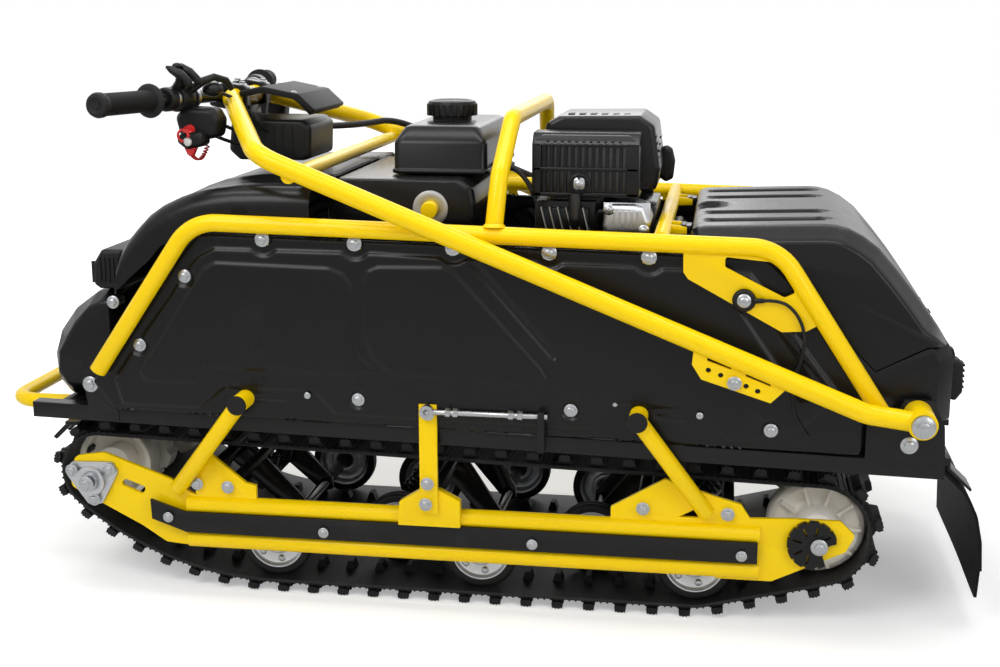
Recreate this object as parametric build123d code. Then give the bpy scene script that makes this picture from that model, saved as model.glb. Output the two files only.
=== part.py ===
from build123d import *
import math
import os

# Tracked snow tug. X points forward, Y to the vehicle's left, Z up, millimetres.
# The origin lies on the ground under the middle of the overall box.
# Side outlines are lists of (x, z) corners. Left-hand pieces are made first and then mirrored.

# Overall reach
FRONT_REACH = 814.0

# Running clearances and walls
SEAT = 0.3
SEAM = 2.0
WALL = 4.0

# Track: belt, lugs and the wheels that shape its loop
TRACK_WIDTH = 500.0
BELT_THICKNESS = 5.5
LUG_HEIGHT = 18.0
LUG_COUNT = 56
LUG_ROOT = 17.0
LUG_CREST = 8.0
LUG_EDGE_LENGTH = 82.0
LUG_MIDDLE_LENGTH = 110.0
SPROCKET_X = 612.0
SPROCKET_Z = 194.0
SPROCKET_RADIUS = 64.5
SPROCKET_TEETH = 8
SPROCKET_WIDTH = 34.0
SPROCKET_Y = (85.0, 172.0)
IDLER_X = -559.0
IDLER_Z = 150.0
IDLER_RADIUS = 78.0
IDLER_WIDTH = 48.0
IDLER_Y = 198.0
FRONT_SAG_X = 318.0
SHAFT_RADIUS = 15.0
SHAFT_REACH = 302.0

# Road wheels
WHEEL_RADIUS = 61.0
RIM_RADIUS = 48.0
HUB_RADIUS = 20.0
WHEEL_WIDTH = 26.0
AXLE_RADIUS = 10.0
OUTER_WHEEL_Y = 219.0
INNER_WHEEL_Y = 133.0
OUTER_WHEEL_X = (320.0, -25.0, -371.0)
INNER_WHEEL_X = (130.0, -200.0)
BOGIE_Y = 75.0
SPRING_Y = 45.0
SPRING_RADIUS = 16.0
SPRING_TURNS = 6

# Track side beams
BEAM_Y = 277.0
BEAM_TUBE = 30.0
BEAM_UPPER_Z = 159.0
BEAM_LOWER_Z = 101.0
BEAM_FRONT_X = 450.0
BEAM_REAR_X = -470.0
BEAM_PLATE = 8.0
BEAM_WEB = 8.0
STRIP_THICKNESS = 6.0
# Lateral tubes between the beams: x, z, radius, reach to each side
CROSS_TUBES = {"front": (432.0, 196.0, 12.0, 272.7), "front_spring": (380.0, 193.0, 10.0, 272.7),
               "middle": (47.0, 192.0, 12.0, 287.7), "middle_spring": (44.0, 226.0, 8.0, 304.2),
               "rear": (-290.0, 193.0, 12.0, 272.7), "rear_spring": (-420.0, 191.0, 10.0, 272.7)}
# Bogies: the pivot's tube, then the axles' x
BOGIES = (("front", (320.0,)), ("middle", (130.0, -25.0)), ("rear", (-200.0, -371.0)))
# Springs: foot x, foot z, the tube they push against
SPRINGS = ((394.0, 134.0, "front_spring"), (140.0, 120.0, "middle_spring"), (-358.0, 118.0, "rear_spring"))
BOLT_HEAD = 7.0
CAM_RADIUS = 38.0

# Struts that hang the beams under the hull
CARRIER_X = (337.0, -282.0)
CARRIER_Z = 349.0
CARRIER_RADIUS = 14.0
CARRIER_REACH = 348.0
STRUT_RADIUS = 13.0
STRUT_Y = 336.0
STRUT_FOOT_Y = 283.0
STRUT_FOOT = ((466.0, 186.0), (-388.0, 190.0))
POST_X = 43.0
POST_WIDTH = 28.0
POST_Y = 304.5
POST_PLATE = 7.0
POST_TOP_Z = 353.0
ROD_RADIUS = 4.5
ROD_Y = 317.0
ROD_Z = 343.0
ROD_REAR_X = -132.0

# Chassis rails
CHASSIS_Y = 285.0
CHASSIS_TUBE = 25.0
CHASSIS_FRONT_X = 700.0
CHASSIS_REAR_X = -735.0
CHASSIS_MID_Z = 297.0
CHASSIS_RAKE = 0.0243
CHASSIS_CROSS_X = (650.0, 190.0, -150.0, -600.0)
HITCH_X = -759.0
HITCH_WIDTH = 50.0
HITCH_BORE = 8.0

# Hull rails
RAIL_Y = 318.0
RAIL_DIAMETER = 27.0
RAIL_BEND = 75.0
RAIL_CORNERS = ((575.0, 388.0), (409.0, 630.0), (-479.0, 611.0), (-640.0, 366.0))
RAIL_TAB_X = (299.0, 154.0, 2.0, -144.0, -292.0)
GUSSET_PLATE = 6.0
CATCH_X = -432.0
CATCH_Z = 534.0
PANEL_Y = 300.0
CABLE_DIAMETER = 5.0

# Steering frame
ARM_DIAMETER = 30.0
ARM_Y = 352.0
PIVOT_X = -690.0
PIVOT_Z = 368.0
ARM_ELBOW = (-612.0, 378.0)
ARM_SHOULDER = (290.0, 737.0)
ARM_TOP_X = 418.0
ARM_TOP_Y = 85.0
ARM_TOP_Z = 804.0
ARM_BEND = 60.0
# Slots, as (x, z) corners, and holes of the adjuster plates
ADJUSTER_SLOTS = (((-382, 455), (-417, 443), (-417, 437), (-382, 449)),
                  ((-438, 434), (-474, 420), (-474, 414), (-438, 428)))
ADJUSTER_HOLES = ((-384, 435), (-402, 428), (-439, 413), (-456, 406))
LOWER_BAR_X = 242.0
LOWER_BAR_Z = 706.0
LOWER_BAR_RADIUS = 11.0
PIVOT_BOLT_RADIUS = 9.0
PIVOT_SLEEVE_RADIUS = 21.0
BAR_RADIUS = 11.0
BAR_X = 444.5
BAR_RISE = 4.0
BAR_Z = ARM_TOP_Z + BAR_RISE
GRIP_RADIUS = 17.0
GRIP_LENGTH = 135.0
GRIP_END = (512.0, 402.0, BAR_Z + 3.0)
BOX_DROP = 36.0
CLAMP_Y = 55.0
CLAMP_WIDTH = 26.0
HARNESS_RADIUS = 6.0

# Hood and nose
HOOD_HALF_WIDTH = 299.7
HOOD_CREASE = 2.5
HOOD_CREASE_Y = 205.0
NOSE_HALF_WIDTH = 262.0

LAMP_GROOVES = (520.0, 529.0, 538.0, 547.0)

# Side panels: lines pressed round the fields given by (x, z) corners
PANEL_LINE = 7.0
PANEL_DEPTH = 1.5
PANEL_FIELDS = (
    ((548, 383), (496, 446), (446, 508), (409, 556), (386, 573), (194, 568), (157, 536), (158, 458), (122, 397),
     (248, 381), (378, 382), (404, 353), (530, 351)),
    ((145, 536), (144, 458), (128, 420), (88, 389), (-138, 380), (-155, 397), (-143, 418), (-12, 576), (128, 580)),
    ((-69, 578), (-164, 585), (-267, 582), (-325, 588), (-412, 528), (-480, 457), (-577, 392), (-370, 453),
     (-160, 538)))

# Rear lid and the tail box under it
LID_FRONT_X = -350.0
LID_REAR_X = -742.0
LID_TOP_Z = 637.0
LID_HALF_WIDTH = 284.0
LID_WALL = 6.0
LID_BEVEL = 24.0
LID_GROOVES = (-200.0, -70.0, 70.0, 200.0)
LID_GROOVE_HALF = 28.0
LID_GROOVE_SIDE = ((-384.0, 660.0), (-386.0, 628.0), (-536.0, 633.4), (-552.0, 660.0))
LID_SPLIT = ((-350.0, 606.0), (-470.0, 585.0), (-628.0, 424.0), (-700.0, 462.0), (-742.0, 468.0))
LID_HINGE_X = -338.0
LID_HINGE_Z = 616.0
LID_PIN_RADIUS = 4.0
LID_KNUCKLE_RADIUS = 7.5
LID_KNUCKLE_Y = (150.0, 190.0)
TAIL_FLOOR_Z = 346.0

# Mud flap
FLAP_HALF_WIDTH = 240.0
FLAP_SHEET = 5.0
FLAP_ROD_Z = 277.0
FLAP_STRAP = 60.0
FLAP_LINE = ((-746.0, 262.0), (-782.0, 228.0), (-799.0, 192.0), (-808.0, 150.0), (-811.5, 104.0), (-811.5, 50.0))

# Engine and tank
CRANK_X = (-290.0, -96.0)
TANK_X = (-22.0, 128.0)
TANK_Z = (690.3, 766.0)
MUFFLER_Z = (664.0, 762.0)
# Slots of the muffler's guard
SLOT_COUNT = 12
SLOT_PITCH = 11.0
SLOT_WIDTH = 5.5
SLOT_HEIGHT = 30.0
SLOT_DEPTH = 6.0
SLOT_ROWS = (675.0, 713.0)
HANDLE_X = -301.0
CAP_RADIUS = 41.0
CAP_NOTCHES = 12
STUB_X = 57.0
STUB_Z = 643.0
HOOP_X = -62.0
HOOP_TOP_Z = 786.0
CROSS_X = -308.0
CROSS_Z = 617.0


def block(x0, x1, y0, y1, z0, z1):
    """Block between two corners."""
    return Pos((x0 + x1) / 2, (y0 + y1) / 2, (z0 + z1) / 2) * Box(x1 - x0, y1 - y0, z1 - z0)


def rod(a, b, radius):
    """Round bar between two points."""
    start = Vector(*a)
    run = Vector(*b) - start
    return extrude(Plane(origin=start, z_dir=run) * Circle(radius), run.length)


def lateral(x, z, y0, y1, radius):
    """Round bar along Y."""
    return rod((x, min(y0, y1), z), (x, max(y0, y1), z), radius)


def ring(x, z, y0, y1, outer, inner):
    """Round sleeve along Y."""
    face = Circle(outer) - Circle(inner)
    low, high = min(y0, y1), max(y0, y1)
    return extrude(Plane(origin=(x, low, z), x_dir=(1, 0, 0), z_dir=(0, 1, 0)) * face, high - low)


def turned(x, z, y0, profile):
    """Turned part on an axis along Y; profile holds (radius, y) corners counted from y0."""
    face = Plane.XY * make_face(Polyline(*profile, close=True).edges())
    return Pos(x, y0, z) * revolve(face, Axis.Y, 360)


def bent_tube(points, bend, radius):
    """Round tube along straight runs joined by tangent bends."""
    path = FilletPolyline(*[Vector(*p) for p in points], radius=bend)
    start = Vector(*points[0])
    plane = Plane(origin=start, z_dir=Vector(*points[1]) - start)
    return sweep(plane * Circle(radius), path=path)


def cord(points, diameter, name):
    """Cord along a hand-picked route, each arc as large as its two runs allow."""
    stops = [Vector(*p) for p in points]
    radii = []
    for before, here, after in zip(stops, stops[1:], stops[2:]):
        turn = math.radians((here - before).get_angle(after - here))
        shorter = min((here - before).length, (after - here).length)
        radii.append(0.45 * shorter / math.tan(turn / 2))
    print(name, "radii", [round(r, 1) for r in radii])
    path = FilletPolyline(*stops, radius=radii)
    plane = Plane(origin=stops[0], z_dir=stops[1] - stops[0])
    return sweep(plane * Circle(diameter / 2), path=path)


def outline(points, corner=0.0):
    """Flat outline in X and Z, with its corners rounded."""
    face = make_face(Polyline(*points, close=True).edges())
    return fillet(face.vertices(), corner) if corner else face


def plate(points, y0, y1, corner=0.0):
    """Side outline extruded from y0 to y1."""
    return Pos(0, y0, 0) * extrude(Plane.XZ * outline(points, corner), -(y1 - y0))


def soften(shape, radius):
    """Round the edges of a side extrusion's two outer faces."""
    faces = shape.faces().sort_by(Axis.Y)
    return fillet(faces[0].edges() + faces[-1].edges(), radius)


def mirrored(shape):
    return mirror(shape, about=Plane.XZ)


def group(*shapes):
    """Solids of one node that stand apart."""
    return Compound(children=[solid for shape in shapes for solid in shape.solids()])


def pair(shape):
    """A left-hand shape with its right-hand copy."""
    return group(shape, mirrored(shape))


def sided(shape, side):
    return shape if side > 0 else mirrored(shape)


def save(name, shape):
    export_step(shape, os.path.join("parts", name + ".step"))


def wheel_z():
    """Height of the road wheels' axles."""
    return LUG_HEIGHT + BELT_THICKNESS + WHEEL_RADIUS + SEAT


def chassis_z(x):
    """Height of the chassis rails, which rise to the front."""
    return CHASSIS_MID_Z + CHASSIS_RAKE * x


def rail_z(x):
    """Height of the hull rail's long top run."""
    (x0, z0), (x1, z1) = RAIL_CORNERS[1], RAIL_CORNERS[2]
    return z0 + (z1 - z0) * (x - x0) / (x1 - x0)


def arm_z(x):
    """Height of the steering arm's long run."""
    (x0, z0), (x1, z1) = ARM_ELBOW, ARM_SHOULDER
    return z0 + (z1 - z0) * (x - x0) / (x1 - x0)


# Track belt

def belt_path(offset):
    """Closed side outline of the belt, offset outward from its inner face.

    The ground run joins the sprocket by one long sagging arc and the idler by a straight ramp.
    """
    ground = LUG_HEIGHT + BELT_THICKNESS - offset
    sprocket = SPROCKET_RADIUS + offset
    idler = IDLER_RADIUS + offset
    wheel = WHEEL_RADIUS + SEAT + offset
    rear_x = OUTER_WHEEL_X[-1]
    rear_z = ground + wheel
    rise = SPROCKET_Z - ground
    run = SPROCKET_X - FRONT_SAG_X
    sag = (run ** 2 + rise ** 2 - sprocket ** 2) / (2 * (rise - sprocket))
    toward = math.atan2(SPROCKET_Z - ground - sag, run)
    span = math.hypot(SPROCKET_X - IDLER_X, SPROCKET_Z - IDLER_Z)
    lean = math.atan2(SPROCKET_Z - IDLER_Z, SPROCKET_X - IDLER_X)
    top = math.pi / 2 + lean + math.asin((sprocket - idler) / span)
    drop = math.hypot(rear_x - IDLER_X, IDLER_Z - rear_z)
    ramp = math.atan2(rear_z - IDLER_Z, rear_x - IDLER_X)
    under = -math.pi / 2 + ramp + math.asin((idler - wheel) / drop)

    def on(cx, cz, radius, angle):
        return (cx + radius * math.cos(angle), cz + radius * math.sin(angle))

    start = (FRONT_SAG_X, ground)
    sag_end = on(SPROCKET_X, SPROCKET_Z, sprocket, toward)
    front_top = on(SPROCKET_X, SPROCKET_Z, sprocket, top)
    rear_top = on(IDLER_X, IDLER_Z, idler, top)
    rear_low = on(IDLER_X, IDLER_Z, idler, under)
    wheel_low = on(rear_x, rear_z, wheel, under)
    flat = (rear_x, ground)
    return [
        ThreePointArc(start, on(FRONT_SAG_X, ground + sag, sag, (toward - math.pi / 2) / 2), sag_end),
        ThreePointArc(sag_end, on(SPROCKET_X, SPROCKET_Z, sprocket, (toward + top) / 2), front_top),
        Line(front_top, rear_top),
        ThreePointArc(rear_top, on(IDLER_X, IDLER_Z, idler, (top + under) / 2 + math.pi), rear_low),
        Line(rear_low, wheel_low),
        ThreePointArc(wheel_low, on(rear_x, rear_z, wheel, (under - math.pi / 2) / 2), flat),
        Line(flat, start),
    ]


def lug_row(x, z, outward):
    """One cross row of lugs: two edge blocks and a middle block, narrower at the crest."""
    sink = 1.5
    section = [(-LUG_ROOT / 2, -sink), (LUG_ROOT / 2, -sink),
               (LUG_CREST / 2, LUG_HEIGHT), (-LUG_CREST / 2, LUG_HEIGHT)]
    edge = TRACK_WIDTH / 2 - 3
    middle = LUG_MIDDLE_LENGTH / 2
    spans = ((-edge, LUG_EDGE_LENGTH - edge), (-middle, middle), (edge - LUG_EDGE_LENGTH, edge))
    place = Pos(x, 0, z) * Rot(0, 90 - math.degrees(outward), 0)
    return [place * plate(section, y0, y1) for y0, y1 in spans]


def make_track_belt():
    loop = make_face(Wire(belt_path(BELT_THICKNESS))) - make_face(Wire(belt_path(0.0)))
    belt = Pos(0, -TRACK_WIDTH / 2, 0) * extrude(Plane.XZ * loop, -TRACK_WIDTH)
    outer = Wire(belt_path(BELT_THICKNESS))
    lugs = []
    for i in range(LUG_COUNT):
        share = (i + 0.5) / LUG_COUNT
        place = outer.position_at(share)
        along = outer.tangent_at(share)
        lugs.extend(lug_row(place.X, place.Y, math.atan2(-along.X, along.Y)))
    return belt.fuse(*lugs)


# Wheels, shafts and springs inside the track

def wheel_seats():
    outer = [(x, OUTER_WHEEL_Y) for x in OUTER_WHEEL_X]
    return outer + [(x, INNER_WHEEL_Y) for x in INNER_WHEEL_X]


def make_road_wheels():
    half = WHEEL_WIDTH / 2
    web = 7.0
    tyre = [(RIM_RADIUS, -half), (WHEEL_RADIUS - 4, -half), (WHEEL_RADIUS, -half + 4),
            (WHEEL_RADIUS, half - 4), (WHEEL_RADIUS - 4, half), (RIM_RADIUS, half)]
    rim = [(AXLE_RADIUS, -half + 2), (HUB_RADIUS, -half + 2), (HUB_RADIUS + 3, half - web - 5),
           (RIM_RADIUS - 4, half - web - 5), (RIM_RADIUS - 4, -half + 2), (RIM_RADIUS, -half + 2),
           (RIM_RADIUS, half - 2), (RIM_RADIUS - 5, half - 2), (RIM_RADIUS - 8, half - web),
           (HUB_RADIUS + 2, half - web), (HUB_RADIUS - 2, half + 3), (AXLE_RADIUS, half + 3)]
    tyres = [turned(x, wheel_z(), y, tyre) for x, y in wheel_seats()]
    rims = [turned(x, wheel_z(), y, rim) for x, y in wheel_seats()]
    return pair(group(*tyres)), pair(group(*rims))


def make_wheel_carriers():
    """Bogies: each pair of plates turns on a cross tube and holds one or two axles."""
    reach = {x: y + WHEEL_WIDTH / 2 + 6 for x, y in wheel_seats()}
    carriers = []
    for tube, axles in BOGIES:
        pivot_x, pivot_z, bore, _ = CROSS_TUBES[tube]
        carrier = None
        for x in axles:
            axle = lateral(x, wheel_z(), -reach[x], reach[x], AXLE_RADIUS)
            lean = 1 if x < pivot_x else -1
            arm = [(x - 15 * lean, wheel_z() - 10), (x + 4 * lean, wheel_z() - 16),
                   (pivot_x + 20 * lean, pivot_z - 18), (pivot_x + 20 * lean, pivot_z + 14),
                   (pivot_x - 12 * lean, pivot_z + 18), (x - 14 * lean, wheel_z() + 12)]
            for spot in (-BOGIE_Y, BOGIE_Y):
                axle = axle + plate(arm, spot - 5, spot + 5)
            carrier = axle if carrier is None else carrier + axle
        carriers.append(carrier - lateral(pivot_x, pivot_z, -120, 120, bore + SEAT))
    for foot_x, foot_z, _ in SPRINGS:
        index = 0 if foot_x > 200 else 1 if foot_x > -100 else 2
        seat = lateral(foot_x, foot_z - 8, -BOGIE_Y, BOGIE_Y, 8)
        carriers[index] = carriers[index] + seat
    return group(*carriers)


def make_track_cross_tubes():
    """Lateral tubes between the two beams, on which the bogies turn and the springs push."""
    return group(*[lateral(x, z, -reach, reach, radius) for x, z, radius, reach in CROSS_TUBES.values()])


def make_front_shaft():
    shaft = lateral(SPROCKET_X, SPROCKET_Z, -SHAFT_REACH, SHAFT_REACH, SHAFT_RADIUS)
    tip = lateral(SPROCKET_X, SPROCKET_Z, -SHAFT_REACH - 8, SHAFT_REACH + 8, 8)
    return shaft + tip


def make_front_sprockets():
    """Toothed drive wheels with a smooth drum beside each."""
    radius = SPROCKET_RADIUS - SEAT
    half = SPROCKET_WIDTH / 2
    blank = ring(SPROCKET_X, SPROCKET_Z, -half, half, radius, SHAFT_RADIUS)
    for i in range(SPROCKET_TEETH):
        angle = 360.0 * i / SPROCKET_TEETH
        gap = Pos(SPROCKET_X, 0, SPROCKET_Z) * Rot(0, angle, 0) * Pos(radius + 4, 0, 0)
        blank = blank - gap * (Rot(90, 0, 0) * Cylinder(13, SPROCKET_WIDTH + 2))
    wheels = [Pos(0, y, 0) * blank for y in SPROCKET_Y[:1]]
    drum_y = SPROCKET_Y[1]
    drum = turned(SPROCKET_X, SPROCKET_Z, drum_y, [(SHAFT_RADIUS, -22), (radius, -22), (radius, 22),
                                                   (radius - 8, 22), (radius - 8, -10), (30, -10), (30, 30),
                                                   (SHAFT_RADIUS, 30)])
    return pair(group(*wheels, drum))


def make_shaft_bearings():
    """Three-bolt flange bearings on the outer faces of the beams' front plates."""
    y = BEAM_Y + BEAM_PLATE / 2
    cx, cz = SPROCKET_X, SPROCKET_Z
    corners = [(cx + 44, cz + 8), (cx + 34, cz + 30), (cx - 38, cz + 32), (cx - 46, cz + 16),
               (cx - 16, cz - 40), (cx + 8, cz - 42)]
    flange = plate(corners, y, y + 6, 8)
    bearing = flange + lateral(cx, cz, y, y + 16, 25)
    for dx, dz in ((31, 17), (-34, 21), (-5, -31)):
        bearing = bearing + lateral(cx + dx, cz + dz, y + 6, y + 13, BOLT_HEAD)
    bearing = bearing - lateral(cx, cz, y - 1, y + 20, SHAFT_RADIUS)
    return pair(bearing)


def make_rear_axle():
    axle = lateral(IDLER_X, IDLER_Z, -272, 272, SHAFT_RADIUS)
    bolt = lateral(IDLER_X, IDLER_Z, -300, 300, 8)
    return axle + bolt


def make_rear_idlers():
    """Flared plastic idler drums, one near each edge of the track."""
    rim = IDLER_RADIUS - SEAT
    half = IDLER_WIDTH / 2
    profile = [(SHAFT_RADIUS, -half), (rim, -half), (rim, half - 16), (rim - 12, half - 10),
               (36, half - 2), (26, half + 14), (SHAFT_RADIUS, half + 14)]
    return pair(turned(IDLER_X, IDLER_Z, IDLER_Y, profile))


def make_cam_adjusters():
    """Notched cams that tension the track, with their bolts' heads."""
    y = BEAM_Y + BEAM_PLATE / 2
    cx, cz = IDLER_X + 10, IDLER_Z - 1
    cam = lateral(cx, cz, y, y + 10, CAM_RADIUS)
    for i in range(12):
        angle = 360.0 * i / 12 + 12
        notch = Pos(cx, y + 5, cz) * Rot(0, angle, 0) * Pos(CAM_RADIUS + 2, 0, 0)
        cam = cam - notch * Box(9, 12, 5)
    cam = cam - plate([(cx - 12, cz - 4), (cx - 44, cz + 8), (cx - 44, cz - 44), (cx - 22, cz - 36)], y - 1, y + 11)
    for angle in (-150, -105, -60, -15, 30, 75):
        slot = Pos(cx, y + 5, cz) * Rot(0, angle, 0) * Pos(CAM_RADIUS * 0.62, 0, 0)
        cam = cam - slot * Box(14, 12, 3.5)
    cam = cam - lateral(IDLER_X, IDLER_Z, y - 1, y + 12, 8)
    head = ring(IDLER_X, IDLER_Z, y + 10, y + 18, 12, 8)
    return pair(cam + head)


def make_suspension_springs():
    """Coil springs on dampers, from the bogies up to the cross tubes."""
    springs = []
    for foot_x, foot_z, tube in SPRINGS:
        tube_x, tube_z, radius, _ = CROSS_TUBES[tube]
        for spot in (-SPRING_Y, SPRING_Y):
            low = Vector(foot_x, spot, foot_z - 8)
            high = Vector(tube_x, spot, tube_z)
            along = (high - low).normalized()
            low = low + along * (8 + SEAT)
            run = high - along * (radius + SEAT) - low
            spring = extrude(Plane(origin=low, z_dir=run) * Circle(6), run.length)
            for i in range(SPRING_TURNS):
                coil = Plane(origin=low + run * (0.1 + 0.6 * i / SPRING_TURNS), z_dir=run)
                spring = spring + extrude(coil * Circle(SPRING_RADIUS), 4)
            springs.append(spring)
    return group(*springs)


# Track frame

def make_track_beam(side):
    """Two tubes and a web, closed by end plates, with gussets, struts and a post to the hull."""
    radius = BEAM_TUBE / 2
    inner = BEAM_Y - BEAM_PLATE / 2
    outer = BEAM_Y + BEAM_PLATE / 2
    cx, cz = SPROCKET_X, SPROCKET_Z
    upper = rod((BEAM_FRONT_X, BEAM_Y, BEAM_UPPER_Z), (BEAM_REAR_X, BEAM_Y, BEAM_UPPER_Z), radius)
    lower = rod((BEAM_FRONT_X, BEAM_Y, BEAM_LOWER_Z), (BEAM_REAR_X, BEAM_Y, BEAM_LOWER_Z), radius)
    web = block(BEAM_REAR_X, BEAM_FRONT_X, BEAM_Y - BEAM_WEB / 2, BEAM_Y + BEAM_WEB / 2,
                BEAM_LOWER_Z, BEAM_UPPER_Z)
    front = plate([(cx + 40, cz - 14), (cx + 30, cz + 38), (cx - 20, cz + 46), (478, 200), (440, 176),
                   (440, 88), (490, 92), (530, 118)], inner, outer, 12)
    rear = plate([(-400, 176), (-452, 184), (-525, 187), (-590, 187), (-613, 165), (-600, 138),
                  (-540, 108), (-490, 84), (-400, 84)], inner, outer, 8)
    front_gusset = [(415, 160), (470, 160), (468, 182), (411, 248), (351, 200), (334, 196), (334, 160)]
    rear_gusset = [(-240, 160), (-240, 192), (-323, 241), (-402, 216), (-440, 206), (-470, 160)]
    front_window = [(456, 182), (436, 176), (436, 196)]
    rear_window = [(-345, 181), (-375, 181), (-372, 196)]
    gussets = plate(front_gusset, inner, outer) + plate(rear_gusset, inner, outer)
    gussets = gussets - plate(front_window, inner - 1, outer + 1) - plate(rear_window, inner - 1, outer + 1)
    foot = plate([(94, 152), (92, 190), (57, 212), (28, 212), (-5, 195), (-5, 152)], 288, POST_Y)
    post = block(POST_X - POST_WIDTH / 2, POST_X + POST_WIDTH / 2, POST_Y, POST_Y + POST_PLATE, 176, POST_TOP_Z)
    beam = upper.fuse(lower, web, front, rear, gussets, foot, post)
    for x, z, _, reach in CROSS_TUBES.values():
        face = outer if reach < BEAM_Y else POST_Y + POST_PLATE
        beam = beam + lateral(x, z, face, face + 5, BOLT_HEAD)
    for top_x, (foot_x, foot_z) in zip(CARRIER_X, STRUT_FOOT):
        strut = rod((top_x, STRUT_Y, CARRIER_Z), (foot_x, STRUT_FOOT_Y, foot_z), STRUT_RADIUS)
        beam = beam + strut
    beam = beam - ring_cut()
    beam = beam - lateral(cx, cz, inner - 5, outer + 5, SHAFT_RADIUS + SEAT)
    beam = beam - lateral(IDLER_X, IDLER_Z, inner - 5, outer + 5, SHAFT_RADIUS + SEAT)
    slot = plate([(567, 187), (556, 197), (520, 184), (528, 172)], inner - 5, outer + 5, 5)
    return sided(beam - slot, side)


def ring_cut():
    """Bores for the carrier tubes in the struts' heads."""
    bores = [lateral(x, CARRIER_Z, 250, 400, CARRIER_RADIUS + SEAT) for x in CARRIER_X]
    return bores[0] + bores[1]


def make_rub_strips():
    """Black wear strips on the beams, with their spacers and bolt heads."""
    y = BEAM_Y + 12.4
    low, high = BEAM_LOWER_Z + 15, BEAM_UPPER_Z - 9
    strip = plate([(509, 169), (508, 136), (450, low), (-467, low), (-467, high), (450, high)],
                  y, y + STRIP_THICKNESS)
    web_face = BEAM_Y + BEAM_WEB / 2
    for x in (478.0, 218.0, -119.0, -443.0):
        z = (low + high) / 2 + (12 if x > BEAM_FRONT_X else 0)
        strip = strip + lateral(x, z, web_face, y, 8)
        strip = strip + lateral(x, z, y + STRIP_THICKNESS, y + STRIP_THICKNESS + 5, BOLT_HEAD)
    return pair(strip)


def make_carrier_tubes():
    """Lateral tubes through the hull that the struts hang on."""
    return group(*[lateral(x, CARRIER_Z, -CARRIER_REACH, CARRIER_REACH, CARRIER_RADIUS) for x in CARRIER_X])


def make_tension_rods():
    """Threaded rods from the posts to lugs on the chassis, with their nuts."""
    y = ROD_Y
    eye = ring(POST_X, ROD_Z, POST_Y + POST_PLATE + SEAT, y + ROD_RADIUS + 1.5, 11, 5)
    bar = rod((POST_X - 8, y, ROD_Z), (ROD_REAR_X - 12, y, ROD_Z), ROD_RADIUS) + eye
    for x in (14.0, 2.0, -84.0, -98.0):
        nut = Plane(origin=(x, y, ROD_Z), z_dir=(-1, 0, 0)) * RegularPolygon(8, 6)
        bar = bar + extrude(nut, 8)
    return pair(bar)


# Chassis

def make_chassis_rail(side):
    """Square tube with the rear plate that carries the steering pivot and the rod's lug."""
    half = CHASSIS_TUBE / 2
    front, rear = CHASSIS_FRONT_X, CHASSIS_REAR_X
    tube = plate([(front, chassis_z(front) - half), (front, chassis_z(front) + half),
                  (rear, chassis_z(rear) + half), (rear, chassis_z(rear) - half)],
                 CHASSIS_Y - half, CHASSIS_Y + half)
    y = CHASSIS_Y + half
    bracket = plate([(-655, 350), (-670, 388), (-712, 388), (-730, 350), (-734, 292), (-655, 292)], y - 4, y + 6, 4)
    foot = plate([(-618, 292), (-618, 352), (-655, 352), (-655, 292)], y - 4, y + 6)
    front_foot = plate([(600, 300), (612, 380), (560, 400), (552, 300)], y - 4, y + 2)
    x = ROD_REAR_X
    z = chassis_z(x)
    lug = block(x - 8, x + 2, y - 4, ROD_Y + 9, z - 6, z + 8)
    lug = lug + block(x - 8, x + 2, PANEL_Y + WALL + 3, ROD_Y + 9, z - 6, ROD_Z + 9)
    lug = lug - rod((x - 20, ROD_Y, ROD_Z), (x + 20, ROD_Y, ROD_Z), ROD_RADIUS + SEAT)
    return sided(tube.fuse(bracket, foot, front_foot, lug), side)


def make_chassis_cross():
    """Lateral members between the rails, with the engine bed and the rear towing eye."""
    end = CHASSIS_Y - CHASSIS_TUBE / 2
    members = []
    for x in CHASSIS_CROSS_X:
        z = chassis_z(x)
        members.append(block(x - 15, x + 15, -end, end, z - 20, z + 10))
    hitch_z = chassis_z(HITCH_X)
    rear = block(CHASSIS_REAR_X, CHASSIS_REAR_X + 20, -end, end, hitch_z - 12, hitch_z + 12)
    half = HITCH_WIDTH / 2
    tongue = block(HITCH_X - 20, CHASSIS_REAR_X, -half, half, hitch_z - 5, hitch_z + 5)
    rear = rear + tongue - Pos(HITCH_X, 0, hitch_z) * Cylinder(HITCH_BORE, 30)
    return group(*members, rear)


def make_engine_bed():
    top = CARRIER_Z + CARRIER_RADIUS + SEAT
    bed = block(CARRIER_X[1] - 25, CARRIER_X[0] + 25, -130, 130, top, top + 6)
    return bed


def make_hull_rail(side):
    """Bent tube round the hull's side with its bolt tabs and the rear gusset."""
    half = GUSSET_PLATE / 2
    rail = bent_tube([(x, RAIL_Y, z) for x, z in RAIL_CORNERS], RAIL_BEND, RAIL_DIAMETER / 2)
    gusset = plate([(-342, 612), (-343, 573), (-350, 563), (-488, 488), (-523, 490), (-549, 505), (-480, 608)],
                   RAIL_Y - half, RAIL_Y + half)
    window = plate([(-403, 597), (-403, 582), (-490, 539), (-505, 546), (-483, 590)],
                   RAIL_Y - 20, RAIL_Y + 20, 4)
    rail = rail.fuse(gusset - window)
    for x in RAIL_TAB_X:
        z = rail_z(x)
        tab = block(x - 9, x + 9, PANEL_Y + WALL + 2, PANEL_Y + WALL + 7, z - 32, z - 4)
        rail = rail + tab
    return sided(rail, side)


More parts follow.
